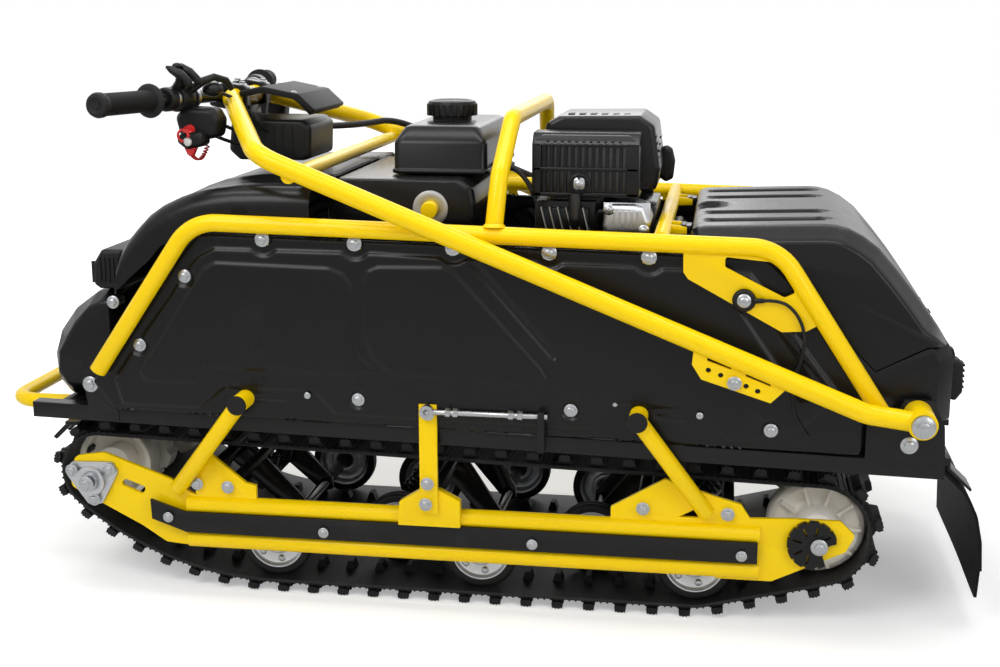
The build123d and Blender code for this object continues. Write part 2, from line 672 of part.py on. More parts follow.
def make_hull_cross_tube():
    """Tube between the rails, with the ears and pins of the lid's hinges."""
    end = RAIL_Y - RAIL_DIAMETER / 2 - SEAT
    tube = lateral(CROSS_X, CROSS_Z, -end, end, 12)
    ear = [(CROSS_X - 4, CROSS_Z - 8), (CROSS_X + 4, CROSS_Z + 8), (LID_HINGE_X + 5, LID_HINGE_Z + 6.5),
           (LID_HINGE_X - 5, LID_HINGE_Z + 4), (LID_HINGE_X - 5, LID_HINGE_Z - 6)]
    y0, y1 = LID_KNUCKLE_Y
    hinge = plate(ear, y0 - 1 - 5, y0 - 1) + plate(ear, y1 + 1, y1 + 6)
    hinge = hinge + lateral(LID_HINGE_X, LID_HINGE_Z, y0 - 6, y1 + 6, LID_PIN_RADIUS)
    return tube.fuse(hinge, mirrored(hinge))


def make_roll_hoop():
    """Hoop that stands on the rails between tank and engine."""
    foot = (HOOP_X, RAIL_Y - 2, rail_z(HOOP_X) + RAIL_DIAMETER / 2 + SEAT)
    knee = (HOOP_X - 4, RAIL_Y - 26, 705.0)
    shoulder = (HOOP_X - 12, RAIL_Y - 105, HOOP_TOP_Z)
    left = [foot, knee, shoulder]
    right = [(x, -y, z) for x, y, z in reversed(left)]
    return bent_tube(left + right, 40, RAIL_DIAMETER / 2)


def make_front_bumper():
    """Loop whose legs butt against the first cross member."""
    radius = 12.5
    half = 170.0
    front = FRONT_REACH - radius
    rear = CHASSIS_CROSS_X[0] + 15 + SEAT
    z = chassis_z(CHASSIS_FRONT_X) - 22
    return bent_tube([(rear, -half, z), (front, -half, z), (front, half, z), (rear, half, z)], 45, radius)


def make_skid_grille():
    """Comb of bent bars under the nose."""
    x = CHASSIS_CROSS_X[0]
    top = chassis_z(x) - 20 - SEAT
    bars = [block(x + 4, x + 30, -230, 230, top - 24, top - 18)]
    bars += [block(x - 6, x + 8, y - 15, y + 15, top - 24, top) for y in (-200, 0, 200)]
    for i in range(9):
        y = -200 + 50 * i
        bars.append(plate([(x + 22, top - 22), (x + 32, top - 20), (x + 66, top - 54), (x + 60, top - 58)],
                          y - 4, y + 4))
    return bars[0].fuse(*bars[1:])


# Body

def make_nose_panel():
    """Rounded nose under the lamps."""
    corners = [(560, 323.1), (610, 323.1), (660, 323.1), (683, 350), (686, 392), (674, 430), (645, 470), (606, 500),
               (582, 508), (560, 508)]
    return soften(plate(corners, -NOSE_HALF_WIDTH, NOSE_HALF_WIDTH, 10), 14)


def make_front_hood():
    corners = [(548, 508.3), (545, 570), (514, 612), (481, 642), (439, 664), (398, 676), (349, 683), (226, 684),
               (226, 612), (420, 612), (500, 520)]
    hood = plate(corners, -HOOD_HALF_WIDTH, HOOD_HALF_WIDTH, 5)
    crease = plate(sheet(corners[2:8], 2 * HOOD_CREASE), HOOD_CREASE_Y - 16, HOOD_CREASE_Y + 16)
    return hood - crease - mirrored(crease)


def make_headlights():
    corners = [(548.3, 508.3), (600, 508.3), (597, 552), (582, 574), (548.3, 574)]
    lamp = soften(plate(corners, 100, 262, 8), 6)
    for z in LAMP_GROOVES:
        lamp = lamp - block(560, 620, 112, 250, z, z + 4) + block(560, 594, 112, 250, z, z + 4)
    return pair(lamp)


def make_side_panel(side):
    """Embossed side of the hull, inside the rail."""
    corners = [(560, 322), (592, 366), (540, 436), (470, 536), (405, 610), (-462, 594), (-500, 560),
               (-612, 392), (-612, 300)]
    panel = plate(corners, PANEL_Y, PANEL_Y + WALL, 6)
    panel = panel - lateral(CARRIER_X[0], CARRIER_Z, 290, 310, CARRIER_RADIUS + SEAT)
    panel = panel - lateral(CARRIER_X[1], CARRIER_Z, 290, 310, CARRIER_RADIUS + SEAT)
    for field in PANEL_FIELDS:
        face = outline(field, 10)
        line = face - offset(face, -PANEL_LINE)
        panel = panel - Pos(0, PANEL_Y + WALL + 1, 0) * extrude(Plane.XZ * line, 1 + PANEL_DEPTH)
    return sided(panel, side)


def tail_section():
    """Whole side outline of the tail, lid and box together."""
    seat = CHASSIS_TUBE / 2 + SEAT
    return [(LID_FRONT_X, chassis_z(LID_FRONT_X) + seat), (LID_FRONT_X, 622), (-364, 630), (-549, LID_TOP_Z),
            (-577, 633), (-604, 620), (-628, 603), (-658, 569), (-690, 529), (-721, 486), (-735, 464),
            (LID_REAR_X, 444), (LID_REAR_X, 352), (-700, TAIL_FLOOR_Z), (-655, chassis_z(-655) + seat)]


def split_region(above):
    """Big block of space above or below the line where lid and tail box meet."""
    gap = SEAM / 2 if above else -SEAM / 2
    line = [(x, z + gap) for x, z in LID_SPLIT]
    far = 1200.0 if above else 100.0
    ends = [(LID_REAR_X - 80, LID_SPLIT[-1][1] + gap), (LID_REAR_X - 80, far), (LID_FRONT_X + 60, far),
            (LID_FRONT_X + 60, LID_SPLIT[0][1] + gap)]
    return plate(line + ends, -400, 400)


def bevelled(solid, half):
    """Bevels the top and rear edges of a tail outline's two side faces."""
    side = [e for e in solid.edges() if abs(abs(e.center().Y) - half) < 0.01]
    edges = [e for e in side if e.center().Z > TAIL_FLOOR_Z + 40 and e.center().X < LID_FRONT_X - LID_WALL - 1]
    return chamfer(edges, LID_BEVEL)


def tail_shell():
    """Hollow tail with even walls."""
    face = outline(tail_section())
    inner = offset(face, -LID_WALL, kind=Kind.INTERSECTION)
    half = LID_HALF_WIDTH
    solid = Pos(0, -half, 0) * extrude(Plane.XZ * face, -2 * half)
    room = Pos(0, LID_WALL - half, 0) * extrude(Plane.XZ * inner, -2 * (half - LID_WALL))
    return bevelled(solid, half) - bevelled(room, half - LID_WALL)


def make_rear_lid():
    """Hollow lid with lengthwise grooves in its top and hinge knuckles at its front."""
    lid = tail_shell() & split_region(True)
    for y in LID_GROOVES:
        lid = lid - plate(LID_GROOVE_SIDE, y - LID_GROOVE_HALF, y + LID_GROOVE_HALF)
    y0, y1 = LID_KNUCKLE_Y
    x, z = LID_HINGE_X, LID_HINGE_Z
    knuckle = lateral(x, z, y0, y1, LID_KNUCKLE_RADIUS) + block(LID_FRONT_X, x, y0, y1, z - 6, z + 6)
    lid = lid.fuse(knuckle, mirrored(knuckle))
    return lid - lateral(x, z, -y1 - 5, y1 + 5, LID_PIN_RADIUS + SEAT)


def make_tail_box():
    return tail_shell() & split_region(False)


def make_lid_latches():
    """Rubber over-centre latches on the tail's rear wall."""
    body = plate([(LID_REAR_X - SEAT, 372), (LID_REAR_X - 16, 368), (LID_REAR_X - 24, 384), (LID_REAR_X - 22, 426),
                  (LID_REAR_X - SEAT, 432)], 180, 216)
    return pair(body)


def sheet(points, thickness, shift=0.0):
    """Side outline of a sheet that follows a line of points, moved sideways by shift."""
    line = [Vector(x, z) for x, z in points]
    runs = [(b - a).normalized() for a, b in zip(line, line[1:])]
    sides = [Vector(-run.Y, run.X) for run in runs]
    mitres = [sides[0]]
    for before, after in zip(sides, sides[1:]):
        mitres.append((before + after) / (1 + before.dot(after)))
    mitres.append(sides[-1])
    left = [p + m * (shift + thickness / 2) for p, m in zip(line, mitres)]
    right = [p + m * (shift - thickness / 2) for p, m in zip(line, mitres)]
    return [(v.X, v.Y) for v in left + right[::-1]]


def make_mud_flap():
    """Curved rubber sheet behind the track."""
    return plate(sheet(FLAP_LINE, FLAP_SHEET), -FLAP_HALF_WIDTH, FLAP_HALF_WIDTH)


def make_flap_hinge():
    """Rod behind the rear cross member and two straps that clamp the flap."""
    start, end = FLAP_LINE[0], FLAP_LINE[1]
    rod_x = CHASSIS_REAR_X - 7 - SEAT
    hinge = lateral(rod_x, FLAP_ROD_Z, HITCH_WIDTH / 2 + 5, FLAP_HALF_WIDTH, 7)
    strap_line = [(rod_x - 3, FLAP_ROD_Z + 4), start, end]
    strap = sheet(strap_line, 4, -(FLAP_SHEET / 2 + 2 + SEAT))
    strap = plate(strap, FLAP_HALF_WIDTH - FLAP_STRAP - 4, FLAP_HALF_WIDTH - 4)
    return pair(hinge + strap)


def make_lid_catches():
    """Rimmed pins on the gussets that hold the lid's cables."""
    y = RAIL_Y + GUSSET_PLATE / 2
    catch = lateral(CATCH_X, CATCH_Z, y, y + 9, 17) + lateral(CATCH_X, CATCH_Z, y + 9, y + 15, 10)
    ferrule = rod((CATCH_X - 14, y + 5, CATCH_Z), (CATCH_X - 28, y + 5, CATCH_Z + 1), 3.4)
    return pair(catch + ferrule)


def make_lid_cables():
    y = RAIL_Y + GUSSET_PLATE / 2 + 5
    route = [(CATCH_X - 29, y, 535), (-485, y + 2, 537), (-508, y + 2, 519), (-521, y, 490), (-521, y - 8, 455),
             (-510, y - 12, 420), (-507, y - 13, 382), (-516, y - 14, 350), (-534, y - 16, 326)]
    return pair(cord(route, CABLE_DIAMETER, "lid_cable"))


# Engine bay

def make_fuel_tank():
    """Tank with a seam lip round its foot and sloping shoulders."""
    tank = block(TANK_X[0], TANK_X[1], -150, 150, TANK_Z[0], TANK_Z[1])
    tank = fillet(tank.edges().filter_by(Axis.Z), 14)
    tank = chamfer(tank.faces().sort_by(Axis.Z)[-1].edges(), 12)
    lip = block(TANK_X[0] - 4, TANK_X[1] + 4, -154, 154, TANK_Z[0], TANK_Z[0] + 6)
    return tank + fillet(lip.edges().filter_by(Axis.Z), 14)


def make_fuel_cap():
    """Screw cap with its grip notches."""
    x, height = 60, 32
    cap = Pos(x, 0, TANK_Z[1] + SEAT) * Cylinder(CAP_RADIUS, height, align=(Align.CENTER, Align.CENTER, Align.MIN))
    cap = chamfer(cap.faces().sort_by(Axis.Z)[-1].edges(), 5)
    notch = Pos(0, 0, TANK_Z[1] + height / 2 + 5) * Cylinder(3, height)
    for i in range(CAP_NOTCHES):
        angle = 360 * i / CAP_NOTCHES
        cap = cap - Pos(x, 0, 0) * Rot(0, 0, angle) * Pos(CAP_RADIUS, 0, 0) * notch
    return cap


def make_drive_cover():
    """Long cover under the tank, with the washer and stub on its left end."""
    end = 205
    cover = plate([(225.7, 616), (225.7, 674), (205, 690), (10, 690), (-14, 672), (-14, 616)], -150, end, 6)
    return cover + lateral(STUB_X, STUB_Z, end - 1, end + 2, 28) + lateral(STUB_X, STUB_Z, end, end + 17, 13)


def make_engine_block():
    top = CARRIER_Z + CARRIER_RADIUS + 6 + 2 * SEAT
    crank = block(CRANK_X[0], CRANK_X[1], -70, 112, top, 640)
    fins = []
    for i in range(5):
        y = 122 + 12 * i
        fins.append(block(CRANK_X[0] + 90, CRANK_X[1] - 10, y, y + 4, 590, 655))
    barrel = block(CRANK_X[0] + 100, CRANK_X[1] - 20, 110, 184, 600, 645)
    stay = block(CRANK_X[0] + 80, CRANK_X[1] - 34, 136, 150, 640, MUFFLER_Z[0] - SEAT)
    return crank.fuse(barrel, stay, *fins)


def make_head_cover():
    return soften(block(-284, -214, 112 + SEAT, 214, 611, 655), 6)


def make_exhaust_pipe():
    return bent_tube([(-170, 184 + SEAT, 624), (-170, 205, 624), (-170, 205, MUFFLER_Z[0] + 6)], 10, 9)


def make_muffler_guard():
    """Slotted guard round the muffler."""
    face = 196
    guard = block(-262, -104, 130, face, MUFFLER_Z[0], MUFFLER_Z[1])
    guard = chamfer(guard.edges().filter_by(Axis.X), 8)
    first = -117
    for i in range(SLOT_COUNT):
        x = first - SLOT_PITCH * i
        for low in SLOT_ROWS:
            guard = guard - block(x - SLOT_WIDTH, x, face - SLOT_DEPTH, face + 5, low, low + SLOT_HEIGHT)
    return guard - Pos(-170, 205, MUFFLER_Z[0]) * Cylinder(9 + SEAT, 20)


def make_engine_shroud():
    """Fan housing over the engine, with the starter's pull handle behind it."""
    corners = [(CRANK_X[0], 700), (-284, 769), (-256, 787), (-126, 784), (-110, 770), (-110, 664), (CRANK_X[0], 664)]
    shroud = plate(corners, SEAT - 70, 110, 4)
    handle = rod((HANDLE_X, -32, 670), (HANDLE_X, -32, 722), 8)
    return shroud + rod((HANDLE_X, -32, 700), (CRANK_X[0] + 6, -32, 702), 5) + handle


def make_recoil_starter():
    """Starter's round cover on the far side."""
    drum = lateral(-200, 640, -112, -70 - SEAT, 78)
    return chamfer(drum.faces().sort_by(Axis.Y)[0].edges(), 12)


# Steering

def make_steering_arms():
    """One bent tube over both sides, its rear sleeves and adjuster plates, and the lower cross bar."""
    radius = ARM_DIAMETER / 2
    left = [(PIVOT_X, ARM_Y, PIVOT_Z), (ARM_ELBOW[0], ARM_Y, ARM_ELBOW[1]),
            (ARM_SHOULDER[0], ARM_Y, ARM_SHOULDER[1]), (ARM_TOP_X, ARM_TOP_Y, ARM_TOP_Z)]
    right = [(x, -y, z) for x, y, z in reversed(left)]
    tube = bent_tube(left + right, ARM_BEND, radius)
    inner = CHASSIS_Y + CHASSIS_TUBE / 2 + 7
    side = lateral(PIVOT_X, PIVOT_Z, inner, ARM_Y + radius + 2, PIVOT_SLEEVE_RADIUS)
    adjuster = plate([(-363, 475), (-360, 443), (-374, 421), (-475, 389), (-494, 408), (-500, 425)],
                     ARM_Y - 3, ARM_Y + 3)
    for slot in ADJUSTER_SLOTS:
        adjuster = adjuster - plate(slot, ARM_Y - 5, ARM_Y + 5)
    for x, z in ADJUSTER_HOLES:
        adjuster = adjuster - lateral(x, z, ARM_Y - 5, ARM_Y + 5, 4)
    side = group(side, adjuster + lateral(-422, 418, ARM_Y + 2, ARM_Y + 9, BOLT_HEAD))
    lower = rod((LOWER_BAR_X, -ARM_Y, LOWER_BAR_Z), (LOWER_BAR_X, ARM_Y, LOWER_BAR_Z), LOWER_BAR_RADIUS)
    frame = tube.fuse(side, mirrored(side), lower)
    return frame - lateral(PIVOT_X, PIVOT_Z, -450, 450, PIVOT_BOLT_RADIUS + SEAT)


def make_pivot_bolts():
    inner = CHASSIS_Y + CHASSIS_TUBE / 2 + 6
    head = ARM_Y + ARM_DIAMETER / 2 + 2 + SEAT
    bolt = lateral(PIVOT_X, PIVOT_Z, inner, head, PIVOT_BOLT_RADIUS) + lateral(PIVOT_X, PIVOT_Z, head, head + 8, 17)
    return pair(bolt)


def bar_line():
    """Start and direction of the handlebar's swept left half."""
    start = Vector(BAR_X, ARM_TOP_Y, BAR_Z)
    end = Vector(*GRIP_END)
    return start, end, (end - start).normalized()


def make_handlebar():
    start, end, _ = bar_line()
    middle = rod((BAR_X, -ARM_TOP_Y, BAR_Z), (BAR_X, ARM_TOP_Y, BAR_Z), BAR_RADIUS)
    half = rod(tuple(start), tuple(end), BAR_RADIUS)
    ball = Pos(*start) * Sphere(BAR_RADIUS)
    return middle.fuse(half, ball, mirrored(half), mirrored(ball))


def make_bar_clamps():
    """Split blocks that hold the handlebar against the frame's top bar."""
    half = CLAMP_WIDTH / 2
    z = ARM_TOP_Z
    clamp = plate([(398, z - 18), (398, z + 18), (432, z + 24), (462, z + 20), (462, z - 14), (432, z - 20)],
                  CLAMP_Y - half, CLAMP_Y + half, 6)
    clamp = clamp - lateral(ARM_TOP_X, ARM_TOP_Z, 0, 120, ARM_DIAMETER / 2 + 0.05)
    clamp = clamp - lateral(BAR_X, BAR_Z, 0, 120, BAR_RADIUS + 0.05)
    return pair(clamp)


def make_grip(side):
    """Rubber grip with its inner flange."""
    _, end, along = bar_line()
    plane = Plane(origin=end - along * GRIP_LENGTH, z_dir=along)
    body = extrude(plane * Circle(GRIP_RADIUS), GRIP_LENGTH + 4)
    flange = extrude(plane * Circle(GRIP_RADIUS + 9), 5)
    hole = extrude(plane * Circle(BAR_RADIUS + 0.05), GRIP_LENGTH + 0.05)
    return sided(body + flange - hole, side)


def make_control_pods():
    """Clamped housings beside the grips."""
    start, _, along = bar_line()
    centre = start + along * 85
    plane = Plane(origin=centre, z_dir=along)
    clamp = extrude(plane * Circle(18), 34)
    body = block(428, 480, 150, 192, BAR_Z - 60, BAR_Z - 12)
    hole = extrude(Plane(origin=centre - along * 40, z_dir=along) * Circle(BAR_RADIUS + 0.05), 140)
    return pair(clamp + body - hole)


def make_levers():
    start, _, along = bar_line()
    root = start + along * 135
    perch = extrude(Plane(origin=root, z_dir=along) * Circle(16), 16)
    hole = extrude(Plane(origin=root - along * 20, z_dir=along) * Circle(BAR_RADIUS + 0.05), 80)
    tip = (462, 245, BAR_Z + 54)
    lever = rod((root.X - 4, root.Y + 8, root.Z + 12), tip, 4) + Pos(*tip) * Sphere(7)
    return pair(perch + lever - hole)


def make_dash_plate():
    """Shade over the instruments, against the clamps."""
    z = ARM_TOP_Z
    corners = [(397.7, z + 2), (397.7, z + 8), (365, z + 16), (305, z + 4), (278, z - 23), (282, z - 27),
               (307, z - 1), (365, z + 11)]
    return plate(corners, -92, 92)


def make_instrument_box():
    """Instrument box that hangs from the top bar by a lug."""
    top = ARM_TOP_Z - BOX_DROP
    shell = plate([(286, top - 62), (286, top - 8), (300, top), (424, top), (428, top - 56), (410, top - 68),
                   (300, top - 68)], -75, 75, 5)
    lug = block(404, 424, -30, 30, top, ARM_TOP_Z - ARM_DIAMETER / 2 - SEAT)
    return shell + lug


def make_steering_harness():
    """Cable bundle from the instruments to the far arm, tied along its top."""
    lift = ARM_DIAMETER / 2 + HARNESS_RADIUS + SEAT
    slope = math.atan2(ARM_SHOULDER[1] - ARM_ELBOW[1], ARM_SHOULDER[0] - ARM_ELBOW[0])

    def above(x):
        return (x - lift * math.sin(slope), -ARM_Y, arm_z(x) + lift * math.cos(slope))

    z = ARM_TOP_Z - BOX_DROP
    route = [(345, -76, z - 23), (330, -130, z - 26), (305, -190, z - 30), (270, -250, z - 30),
             (238, -310, z - 26), above(190), above(-560)]
    return cord(route, 2 * HARNESS_RADIUS, "steering_harness")


def make_lanyard():
    """Stop-switch clip that hangs from the left pod."""
    z = BAR_Z - 46
    key = lateral(450, z, 192, 204, 9)
    clip = block(444, 450, 196, 214, z - 40, z - 9)
    return key + clip


def main():
    os.makedirs("parts", exist_ok=True)
    tyres, rims = make_road_wheels()
    save("track_belt", make_track_belt())
    save("road_tyres", tyres)
    save("road_rims", rims)
    save("wheel_carriers", make_wheel_carriers())
    save("track_cross_tubes", make_track_cross_tubes())
    save("front_shaft", make_front_shaft())
    save("front_sprockets", make_front_sprockets())
    save("shaft_bearings", make_shaft_bearings())
    save("rear_axle", make_rear_axle())
    save("rear_idlers", make_rear_idlers())
    save("cam_adjusters", make_cam_adjusters())
    save("suspension_springs", make_suspension_springs())
    save("rub_strips", make_rub_strips())
    save("carrier_tubes", make_carrier_tubes())
    save("tension_rods", make_tension_rods())
    save("chassis_cross", make_chassis_cross())
    save("engine_bed", make_engine_bed())
    for name, side in (("left", 1), ("right", -1)):
        save("track_beam_" + name, make_track_beam(side))
        save("chassis_rail_" + name, make_chassis_rail(side))
        save("hull_rail_" + name, make_hull_rail(side))
        save("side_panel_" + name, make_side_panel(side))
        save("grip_" + name, make_grip(side))
    save("hull_cross_tube", make_hull_cross_tube())
    save("roll_hoop", make_roll_hoop())
    save("front_bumper", make_front_bumper())
    save("skid_grille", make_skid_grille())
    save("nose_panel", make_nose_panel())
    save("front_hood", make_front_hood())
    save("headlights", make_headlights())
    save("rear_lid", make_rear_lid())
    save("tail_box", make_tail_box())
    save("lid_latches", make_lid_latches())
    save("lid_catches", make_lid_catches())
    save("lid_cables", make_lid_cables())
    save("mud_flap", make_mud_flap())
    save("flap_hinge", make_flap_hinge())
    save("fuel_tank", make_fuel_tank())
    save("fuel_cap", make_fuel_cap())
    save("drive_cover", make_drive_cover())
    save("engine_block", make_engine_block())
    save("head_cover", make_head_cover())
    save("exhaust_pipe", make_exhaust_pipe())
    save("muffler_guard", make_muffler_guard())
    save("engine_shroud", make_engine_shroud())
    save("recoil_starter", make_recoil_starter())
    save("steering_arms", make_steering_arms())
    save("pivot_bolts", make_pivot_bolts())
    save("handlebar", make_handlebar())
    save("bar_clamps", make_bar_clamps())
    save("control_pods", make_control_pods())
    save("levers", make_levers())
    save("dash_plate", make_dash_plate())
    save("instrument_box", make_instrument_box())
    save("steering_harness", make_steering_harness())
    save("lanyard", make_lanyard())


main()
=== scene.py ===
"""Looks of the tracked snow tug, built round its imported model.

Sizes inside the classes are millimetres in the model's own frame: X forward, Y to the vehicle's
left, Z up, origin on the ground under the middle. A piece is scaled to metres as its mesh is made.
"""

import logging
import math
from dataclasses import dataclass
from enum import Enum
from functools import lru_cache
from typing import Any, Iterable, Optional, Sequence

import bmesh
import bpy
from mathutils import Matrix, Vector


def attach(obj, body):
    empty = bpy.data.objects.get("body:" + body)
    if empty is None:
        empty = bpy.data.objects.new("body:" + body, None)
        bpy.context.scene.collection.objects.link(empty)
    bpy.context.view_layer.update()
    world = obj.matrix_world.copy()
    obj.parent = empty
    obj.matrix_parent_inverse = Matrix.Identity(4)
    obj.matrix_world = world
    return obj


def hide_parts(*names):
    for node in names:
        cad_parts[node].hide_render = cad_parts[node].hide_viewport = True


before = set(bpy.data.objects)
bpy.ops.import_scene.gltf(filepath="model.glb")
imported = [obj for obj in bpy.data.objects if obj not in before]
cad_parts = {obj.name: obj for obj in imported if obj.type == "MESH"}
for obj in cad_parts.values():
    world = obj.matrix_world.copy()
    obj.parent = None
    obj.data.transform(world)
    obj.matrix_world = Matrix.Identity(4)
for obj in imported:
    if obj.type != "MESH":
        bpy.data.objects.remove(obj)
LOG = logging.getLogger("snow_tug")
Point = Sequence[float]
MILLIMETRE = 0.001
FULL_TURN = 2.0 * math.pi
QUARTER_TURN = math.pi / 2
ACROSS, UP = (0, 1, 0), (0, 0, 1)
WHITE = (1.0, 1.0, 1.0, 1.0)
FLOAT, VECTOR, WHOLE = "NodeSocketFloat", "NodeSocketVector", "NodeSocketInt"
GEOMETRY, SURFACE, THING = "NodeSocketGeometry", "NodeSocketMaterial", "NodeSocketObject"
MERGE_DISTANCE = 0.01
DARKEST_ROUGHNESS, WORN_ROUGHNESS = 0.95, 0.22


class Body(Enum):
    """Bodies of the model that a piece can ride on."""

    HULL = "hull"
    STEERING = "steering"
    LID = "lid"


class Side(Enum):
    """Sides of the vehicle, as the sign of Y."""

    LEFT = 1
    RIGHT = -1

    @property
    def label(self) -> str:
        """The side's name at the end of a piece's name."""
        return self.name.lower()


def clamped(value: float) -> float:
    """Keeps a share between nothing and all."""
    return max(0.0, min(1.0, value))


def eased(value: float) -> float:
    """Keeps a share between nothing and all, and softens both ends."""
    share = clamped(value)
    return share * share * (3 - 2 * share)


# Node trees


class Tree:
    """Short hand for building one node tree."""

    def __init__(self, tree: bpy.types.NodeTree) -> None:
        """Wraps an empty tree."""
        self.tree = tree

    def feed(self, socket: bpy.types.NodeSocket, value: Any) -> None:
        """Gives an input a value, or joins a node or an output to it."""
        source = value.outputs[0] if isinstance(value, bpy.types.Node) else value
        if isinstance(source, bpy.types.NodeSocket):
            self.tree.links.new(source, socket)
        else:
            socket.default_value = source

    def node(self, kind: str, *feeds: Any, **settings: Any) -> bpy.types.Node:
        """Adds a node.

        Args:
            kind: the node's type name.
            *feeds: what its first inputs get.
            **settings: properties, or inputs by name with underscores for blanks.

        Returns:
            The new node.
        """
        made = self.tree.nodes.new(kind)
        own = [key for key in settings if hasattr(made, key)]
        for key in own:
            setattr(made, key, settings.pop(key))
        for socket, value in zip(made.inputs, feeds):
            self.feed(socket, value)
        for key, value in settings.items():
            self.feed(made.inputs[key.replace("_", " ")], value)
        return made


class Group(Tree):
    """A node group with named inputs and one output."""

    def __init__(self, name: str, inputs: dict[str, tuple[str, Any]], output: str, socket_type: str = FLOAT,
                 kind: str = "ShaderNodeTree") -> None:
        """Starts the group.

        Args:
            name: the group's name.
            inputs: socket name to its type and default value.
            output: the output's name.
            socket_type: the output's type.
            kind: the tree type.
        """
        super().__init__(bpy.data.node_groups.new(name, kind))
        for label, (given_type, default) in inputs.items():
            socket = self.tree.interface.new_socket(label, in_out="INPUT", socket_type=given_type)
            if default is not None:
                socket.default_value = default
        self.tree.interface.new_socket(output, in_out="OUTPUT", socket_type=socket_type)
        self.given = self.node("NodeGroupInput").outputs

    def end(self, value: Any) -> bpy.types.NodeTree:
        """Joins the last node to the output and returns the tree."""
        self.node("NodeGroupOutput", value)
        return self.tree


@lru_cache(maxsize=None)
def moulded_grain() -> bpy.types.NodeTree:
    """Fine skin of moulded, cast or sprayed surfaces, as a height."""
    tree = Group("moulded_grain", {"Place": (VECTOR, None), "Scale": (FLOAT, 900.0), "Ripple": (FLOAT, 40.0)},
                 "Height")
    given, ripple_share = tree.given, 0.35
    fine = tree.node("ShaderNodeTexNoise", Vector=given["Place"], Scale=given["Scale"], Detail=2.0)
    slow = tree.node("ShaderNodeTexNoise", Vector=given["Place"], Scale=given["Ripple"], Detail=1.0)
    return tree.end(tree.node("ShaderNodeMath", slow, ripple_share, fine, operation="MULTIPLY_ADD"))


@lru_cache(maxsize=None)
def handling_marks() -> bpy.types.NodeTree:
    """Soft patches and short scuffs left by handling, as a mask."""
    tree = Group("handling_marks", {"Place": (VECTOR, None), "Size": (FLOAT, 14.0),
                                    "Sharpness": (FLOAT, 0.55)},
                 "Mask")
    cloud = tree.node("ShaderNodeTexNoise", Vector=tree.given["Place"], Scale=tree.given["Size"], Detail=6.0,
                      Roughness=0.62)
    return tree.end(tree.node("ShaderNodeMapRange", cloud, clamp=True, From_Min=tree.given["Sharpness"],
                              From_Max=0.78))


@lru_cache(maxsize=None)
def settled_dust() -> bpy.types.NodeTree:
    """Dust that lies on faces that look up, broken by noise, as a mask."""
    tree = Group("settled_dust", {"Place": (VECTOR, None), "Amount": (FLOAT, 0.3)}, "Mask")
    normal = tree.node("ShaderNodeNewGeometry").outputs["Normal"]
    upward = tree.node("ShaderNodeSeparateXYZ", normal).outputs["Z"]
    cloud = tree.node("ShaderNodeTexNoise", Vector=tree.given["Place"], Scale=55.0, Detail=5.0)
    both = tree.node("ShaderNodeMath", upward, cloud, operation="MULTIPLY", use_clamp=True)
    return tree.end(tree.node("ShaderNodeMath", both, tree.given["Amount"], operation="MULTIPLY",
                              use_clamp=True))


def new_material(name: str) -> tuple[bpy.types.Material, Tree]:
    """Makes a material with an empty tree."""
    made = bpy.data.materials.new(name)
    made.use_nodes = True
    made.node_tree.nodes.clear()
    return made, Tree(made.node_tree)


@dataclass(frozen=True)
class Finish:
    """A surface finish: one Principled material with grain, marks and dust."""

    name: str
    slot: str
    colour: Point
    worn: Point
    roughness: float
    metallic: float = 0.0
    coat: float = 0.0
    grain_scale: float = 900.0
    grain_depth: float = 0.05
    ripple_scale: float = 40.0
    mark_size: float = 14.0
    mark_share: float = 0.35
    dust: float = 0.0
    specular: float = 0.5

    def material(self) -> bpy.types.Material:
        """Returns the material, built on first use."""
        found = bpy.data.materials.get(self.name)
        if found is not None:
            return found
        made, tree = new_material(self.name)
        place = tree.node("ShaderNodeTexCoord").outputs["Object"]
        marks = tree.node("ShaderNodeGroup", node_tree=handling_marks(), Place=place, Size=self.mark_size)
        dust = tree.node("ShaderNodeGroup", node_tree=settled_dust(), Place=place, Amount=self.dust)
        share = tree.node("ShaderNodeMath", marks, self.mark_share, dust, operation="MULTIPLY_ADD",
                          use_clamp=True)
        mix = tree.node("ShaderNodeMix", share, data_type="RGBA")
        for socket, colour in zip(mix.inputs[6:8], (self.colour, self.worn)):
            socket.default_value = (*colour, 1.0)
        rough = tree.node("ShaderNodeMapRange", share, clamp=True, To_Min=self.roughness,
                          To_Max=min(DARKEST_ROUGHNESS, self.roughness + WORN_ROUGHNESS))
        grain = tree.node("ShaderNodeGroup", node_tree=moulded_grain(), Place=place, Scale=self.grain_scale,
                          Ripple=self.ripple_scale)
        bump = tree.node("ShaderNodeBump", Strength=self.grain_depth, Distance=MILLIMETRE, Height=grain)
        shader = tree.node("ShaderNodeBsdfPrincipled", Base_Color=mix.outputs[2], Roughness=rough,
                           Normal=bump, Metallic=self.metallic, Coat_Weight=self.coat, Coat_Roughness=0.12,
                           Specular_IOR_Level=self.specular)
        tree.node("ShaderNodeOutputMaterial", shader)
        return made


